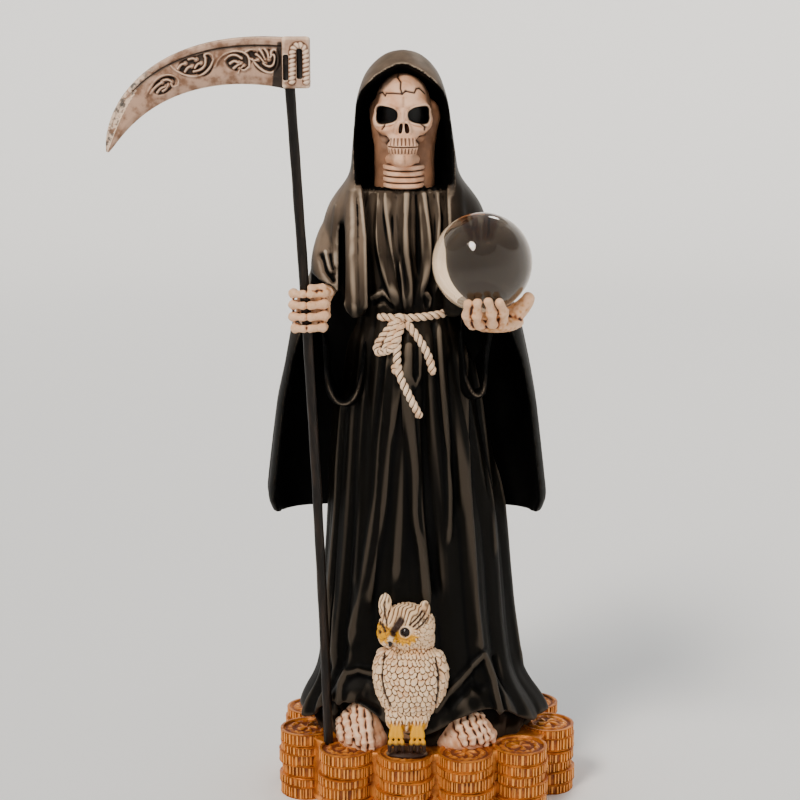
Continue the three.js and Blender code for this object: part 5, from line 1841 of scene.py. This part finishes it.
def owl(paint):
    stand = stack_centre(OWL_STACK) + np.array([0, 0, COIN_TOP])

    def at(x, y, z):
        return stand + np.array([x, y, z])

    parts = [egg(name, at(*place), size, turn) for name, place, size, turn in OWL_MASSES]
    for name, places, radii, depth in OWL_LIMBS:
        parts.append(tube(name, [at(*place) for place in places], radii, 32, 50, squash=depth))
    for foot_x in OWL_FEET:
        for spread in (-2.6, 0, 2.6):
            toe = [(0.3 * spread, -2, 18), (0.8 * spread, -5, 13.6), (1.1 * spread, -6.4, 9.6)]
            claw = [(1.1 * spread, -6.4, 9.6), (1.3 * spread, -7.8, 6), (1.36 * spread, -8, 2.6)]
            for name, places, radii in (("toe", toe, [1.2, 1.5, 1.5]), ("claw", claw, [1.3, 1.3, 0.8])):
                parts.append(tube(name, [at(foot_x + px, py, pz) for px, py, pz in places], radii, 20, 30))
    bird = melt(parts, "owl", OWL_CELL, 3)
    places = read_points(bird) / MM - stand
    x, y, z = places.T

    def front_at(place_x, place_z):
        near = np.hypot(x - place_x, z - place_z) < 0.8
        return np.array([place_x, y[near].min(), place_z])

    angle = np.arctan2(x - 3, 9 - y)
    on_head = smooth((z - 56.4) / 1.6)
    feet = 0
    for foot_x in OWL_FEET:
        beside = smooth((5.6 - np.abs(x - foot_x)) / 1.4)
        frayed = 18.6 + 1.2 * np.sin(3.4 * x)
        shown = smooth((frayed - z) / 2) * smooth((z - 5) / 2) * smooth((0.4 - y) / 2)
        feet = np.maximum(feet, shown * beside)
    wing = smooth((np.abs(x - 3) - 14.4) / 1.6) * smooth((z - 25) / 3)
    small = feathers(angle * 34 / TAU, z / 3.1)
    slim = feathers(angle * 34 / TAU, z / 4.4)
    body = mix(small, slim, np.maximum(wing, smooth((22 - z) / 6)))

    head_x = x - OWL_HEAD[0]
    head_y = y - OWL_HEAD[1]
    across = head_x * math.cos(OWL_HEAD_TURN) + head_y * math.sin(OWL_HEAD_TURN)
    ahead = head_x * math.sin(OWL_HEAD_TURN) - head_y * math.cos(OWL_HEAD_TURN)
    line = (across + 0.7 * np.sin(1.1 * ahead + 0.9 * z)) / 2.3
    waves = np.exp(-((((line % 1) - 0.5) * 2.3 / 0.4) ** 2)) * smooth((z - 70.4) / 1.4)

    near_eye = front_at(0, 67.8)
    far_eye = front_at(-11.4, 67)
    turn = np.arctan2(z - near_eye[2], x - near_eye[0])
    reach = np.linalg.norm(places - near_eye, axis=1)
    cheek = feathers(turn * 24 / TAU, -reach / 2.6) * smooth((reach - 4.6) / 1)
    face = cheek * smooth((71 + 3.4 * smooth((x - 4) / 3) - z) / 1.4)
    yellow = 0.3 * bump(x, z, (0.5, 56.5), (6, 2.4)) * (y < 2)
    for eye, wide, ball in ((near_eye, 7.6, 2.8), (far_eye, 6.6, 0)):
        away = np.linalg.norm((places - eye) / (1, 1.2, 1), axis=1)
        low = smooth((eye[2] + (1 if ball else 4.6) - z - 0.3 * (x - eye[0])) / 2)
        frayed = wide + 0.9 * np.sin(14 * np.arctan2(z - eye[2], x - eye[0]))
        yellow = np.maximum(yellow, smooth((frayed - away) / 0.8) * smooth((away - ball) / 0.3) * low)
        if ball:
            ring = np.exp(-(((away - ball - 0.35) / 0.4) ** 2))
            dark = smooth((ball - away) / 0.3)
            pupil = 0.7 * smooth((0.66 * ball - away) / 1.2)
            eyes = 0.5 * ring - 0.5 * smooth((ball - 0.3 - away) / 0.3) + pupil
    beak = np.linalg.norm((places - (-7.7, -8.6, 61.8)) / np.array([1.8, 3.2, 2.9]), axis=1)
    dark = np.maximum(dark, smooth((1 - beak) / 0.3))
    claws = np.maximum(smooth((8.4 - z) / 1.2) * smooth((-4.6 - y) / 1), 0.85 * smooth((4.4 - z) / 1))
    drawn = 0
    depth = 0
    front = smooth((6 - y) / 4)
    for width, deep, path in OWL_STROKES:
        drawn = np.maximum(drawn, stroke(x, z, path, width) * front)
        depth = np.maximum(depth, deep * stroke(x, z, path, width) * front)
    head_relief = face * (1 - dark) * smooth((reach - 3.6) / 0.6) + eyes - 0.6 * waves
    relief = mix(1.5 * body * (1 - feet) * smooth((z - 10) / 4), head_relief, on_head) - depth
    swell(bird, lambda points, normals: relief)
    mark_hollows(bird, 6, 1.5)
    mark(bird, "yellow", np.maximum(yellow, feet))
    mark(bird, "dark", dark)
    gaps = smooth((0.34 - body) / 0.2) * (1 - on_head) * (1 - feet) * 0.75
    round_face = smooth(reach - 6) * smooth((11 - reach) / 2) * smooth(71 - z)
    creases = smooth((0.25 - cheek) / 0.2) * round_face
    washed = [gaps, 0.8 * waves * on_head, 1.7 * drawn, 0.4 * creases * on_head, claws]
    mark(bird, "stain_and_shade", np.maximum.reduce(washed))
    return dress(bird, paint)


# Glass ball

BALL_FLAT = 0.12


def ball(paint):
    """A half circle spun round, with a small flat under it."""
    deselect()
    bpy.ops.mesh.primitive_circle_add(vertices=96, radius=BALL_RADIUS * MM, rotation=(math.pi / 2, 0, 0))
    obj = settle(named("glass_ball_clear"))
    bpy.ops.object.mode_set(mode="EDIT")
    bpy.ops.mesh.select_all(action="SELECT")
    bpy.ops.mesh.bisect(plane_co=(0, 0, 0), plane_no=(1, 0, 0), clear_inner=True)
    bpy.ops.mesh.select_all(action="SELECT")
    bpy.ops.mesh.spin(steps=96, angle=TAU, center=(0, 0, 0), axis=(0, 0, 1))
    bpy.ops.mesh.select_all(action="SELECT")
    bpy.ops.mesh.remove_doubles(threshold=0.00002)
    bpy.ops.mesh.normals_make_consistent(inside=False)
    bpy.ops.object.mode_set(mode="OBJECT")

    def place(points):
        up = np.maximum(points[:, 2], BALL_FLAT - BALL_RADIUS)
        return np.column_stack([points[:, :2], up]) + BALL_CENTRE

    return dress(move(obj, place), paint, "glass_ball")


# Floor, lights and camera


def stage():
    """A pale floor that sweeps up all round, far outside the camera, under a soft sky and three lights."""
    deselect()
    bpy.ops.mesh.primitive_grid_add(x_subdivisions=90, y_subdivisions=90, size=9)
    floor = settle(named("floor"))

    def sweep(points):
        reach = np.hypot(points[:, 0], points[:, 1]) / 1000
        rise = 1000 * 0.45 * np.clip(reach - 2.4, 0, 9) ** 2
        return np.column_stack([points[:, :2], rise])

    move(floor, sweep)
    paint = Paint("floor_paint", Roughness=0.9, Specular_IOR_Level=0.05)
    paint.shader.inputs["Base Color"].default_value = (0.93, 0.955, 0.98, 1)
    floor.data.materials.append(paint.material)

    world = bpy.data.worlds.new("studio")
    bpy.context.scene.world = world
    world.use_nodes = True
    world.node_tree.nodes["Background"].inputs["Color"].default_value = (1, 0.985, 0.96, 1)
    world.node_tree.nodes["Background"].inputs["Strength"].default_value = 0.52
    lights = (
        ("key", "SUN", (-0.8, -1.1, 1.35), 3.5, (1, 0.9, 0.78)),
        ("glint", "AREA", (-0.5, -0.8, 1.2), 4, (1, 0.88, 0.74)),
        ("rim", "AREA", (0.4, 1.2, 1.4), 3, (1, 0.92, 0.82)),
    )
    for name, kind, place, power, colour in lights:
        light = bpy.data.lights.new(name, kind)
        if kind == "SUN":
            light.angle = math.radians(22)
        else:
            light.shape = "DISK"
            light.size = 0.3
        light.energy = power
        light.color = colour
        lamp = bpy.data.objects.new(name, light)
        lamp.location = place
        lamp.rotation_euler = (Vector((0, 0, 0.2)) - Vector(place)).to_track_quat("-Z", "Y").to_euler()
        bpy.context.collection.objects.link(lamp)


def camera():
    data = bpy.data.cameras.new("camera")
    data.lens = 80.46
    data.sensor_width = 36
    data.clip_start = 0.05
    data.clip_end = 50
    eye = bpy.data.objects.new("camera", data)
    eye.location = (-0.015, -0.95, 0.39)
    eye.rotation_euler = (math.radians(90 - 10.26), 0, 0)
    bpy.context.collection.objects.link(eye)
    bpy.context.scene.camera = eye


ROBE = robe_paint()
BONE = bone_paint()
GOLD = gold_paint()
gown(ROBE)
cape(ROBE)
head(BONE)
fist(BONE)
open_hand(BONE)
for row in FEET:
    foot(*row, BONE)
rope(rope_paint())
owl(owl_paint())
coins(GOLD)
ground(GOLD)
shaft(shaft_paint())
scythe_head(blade_paint())
ball(clear_glass())
stage()
camera()
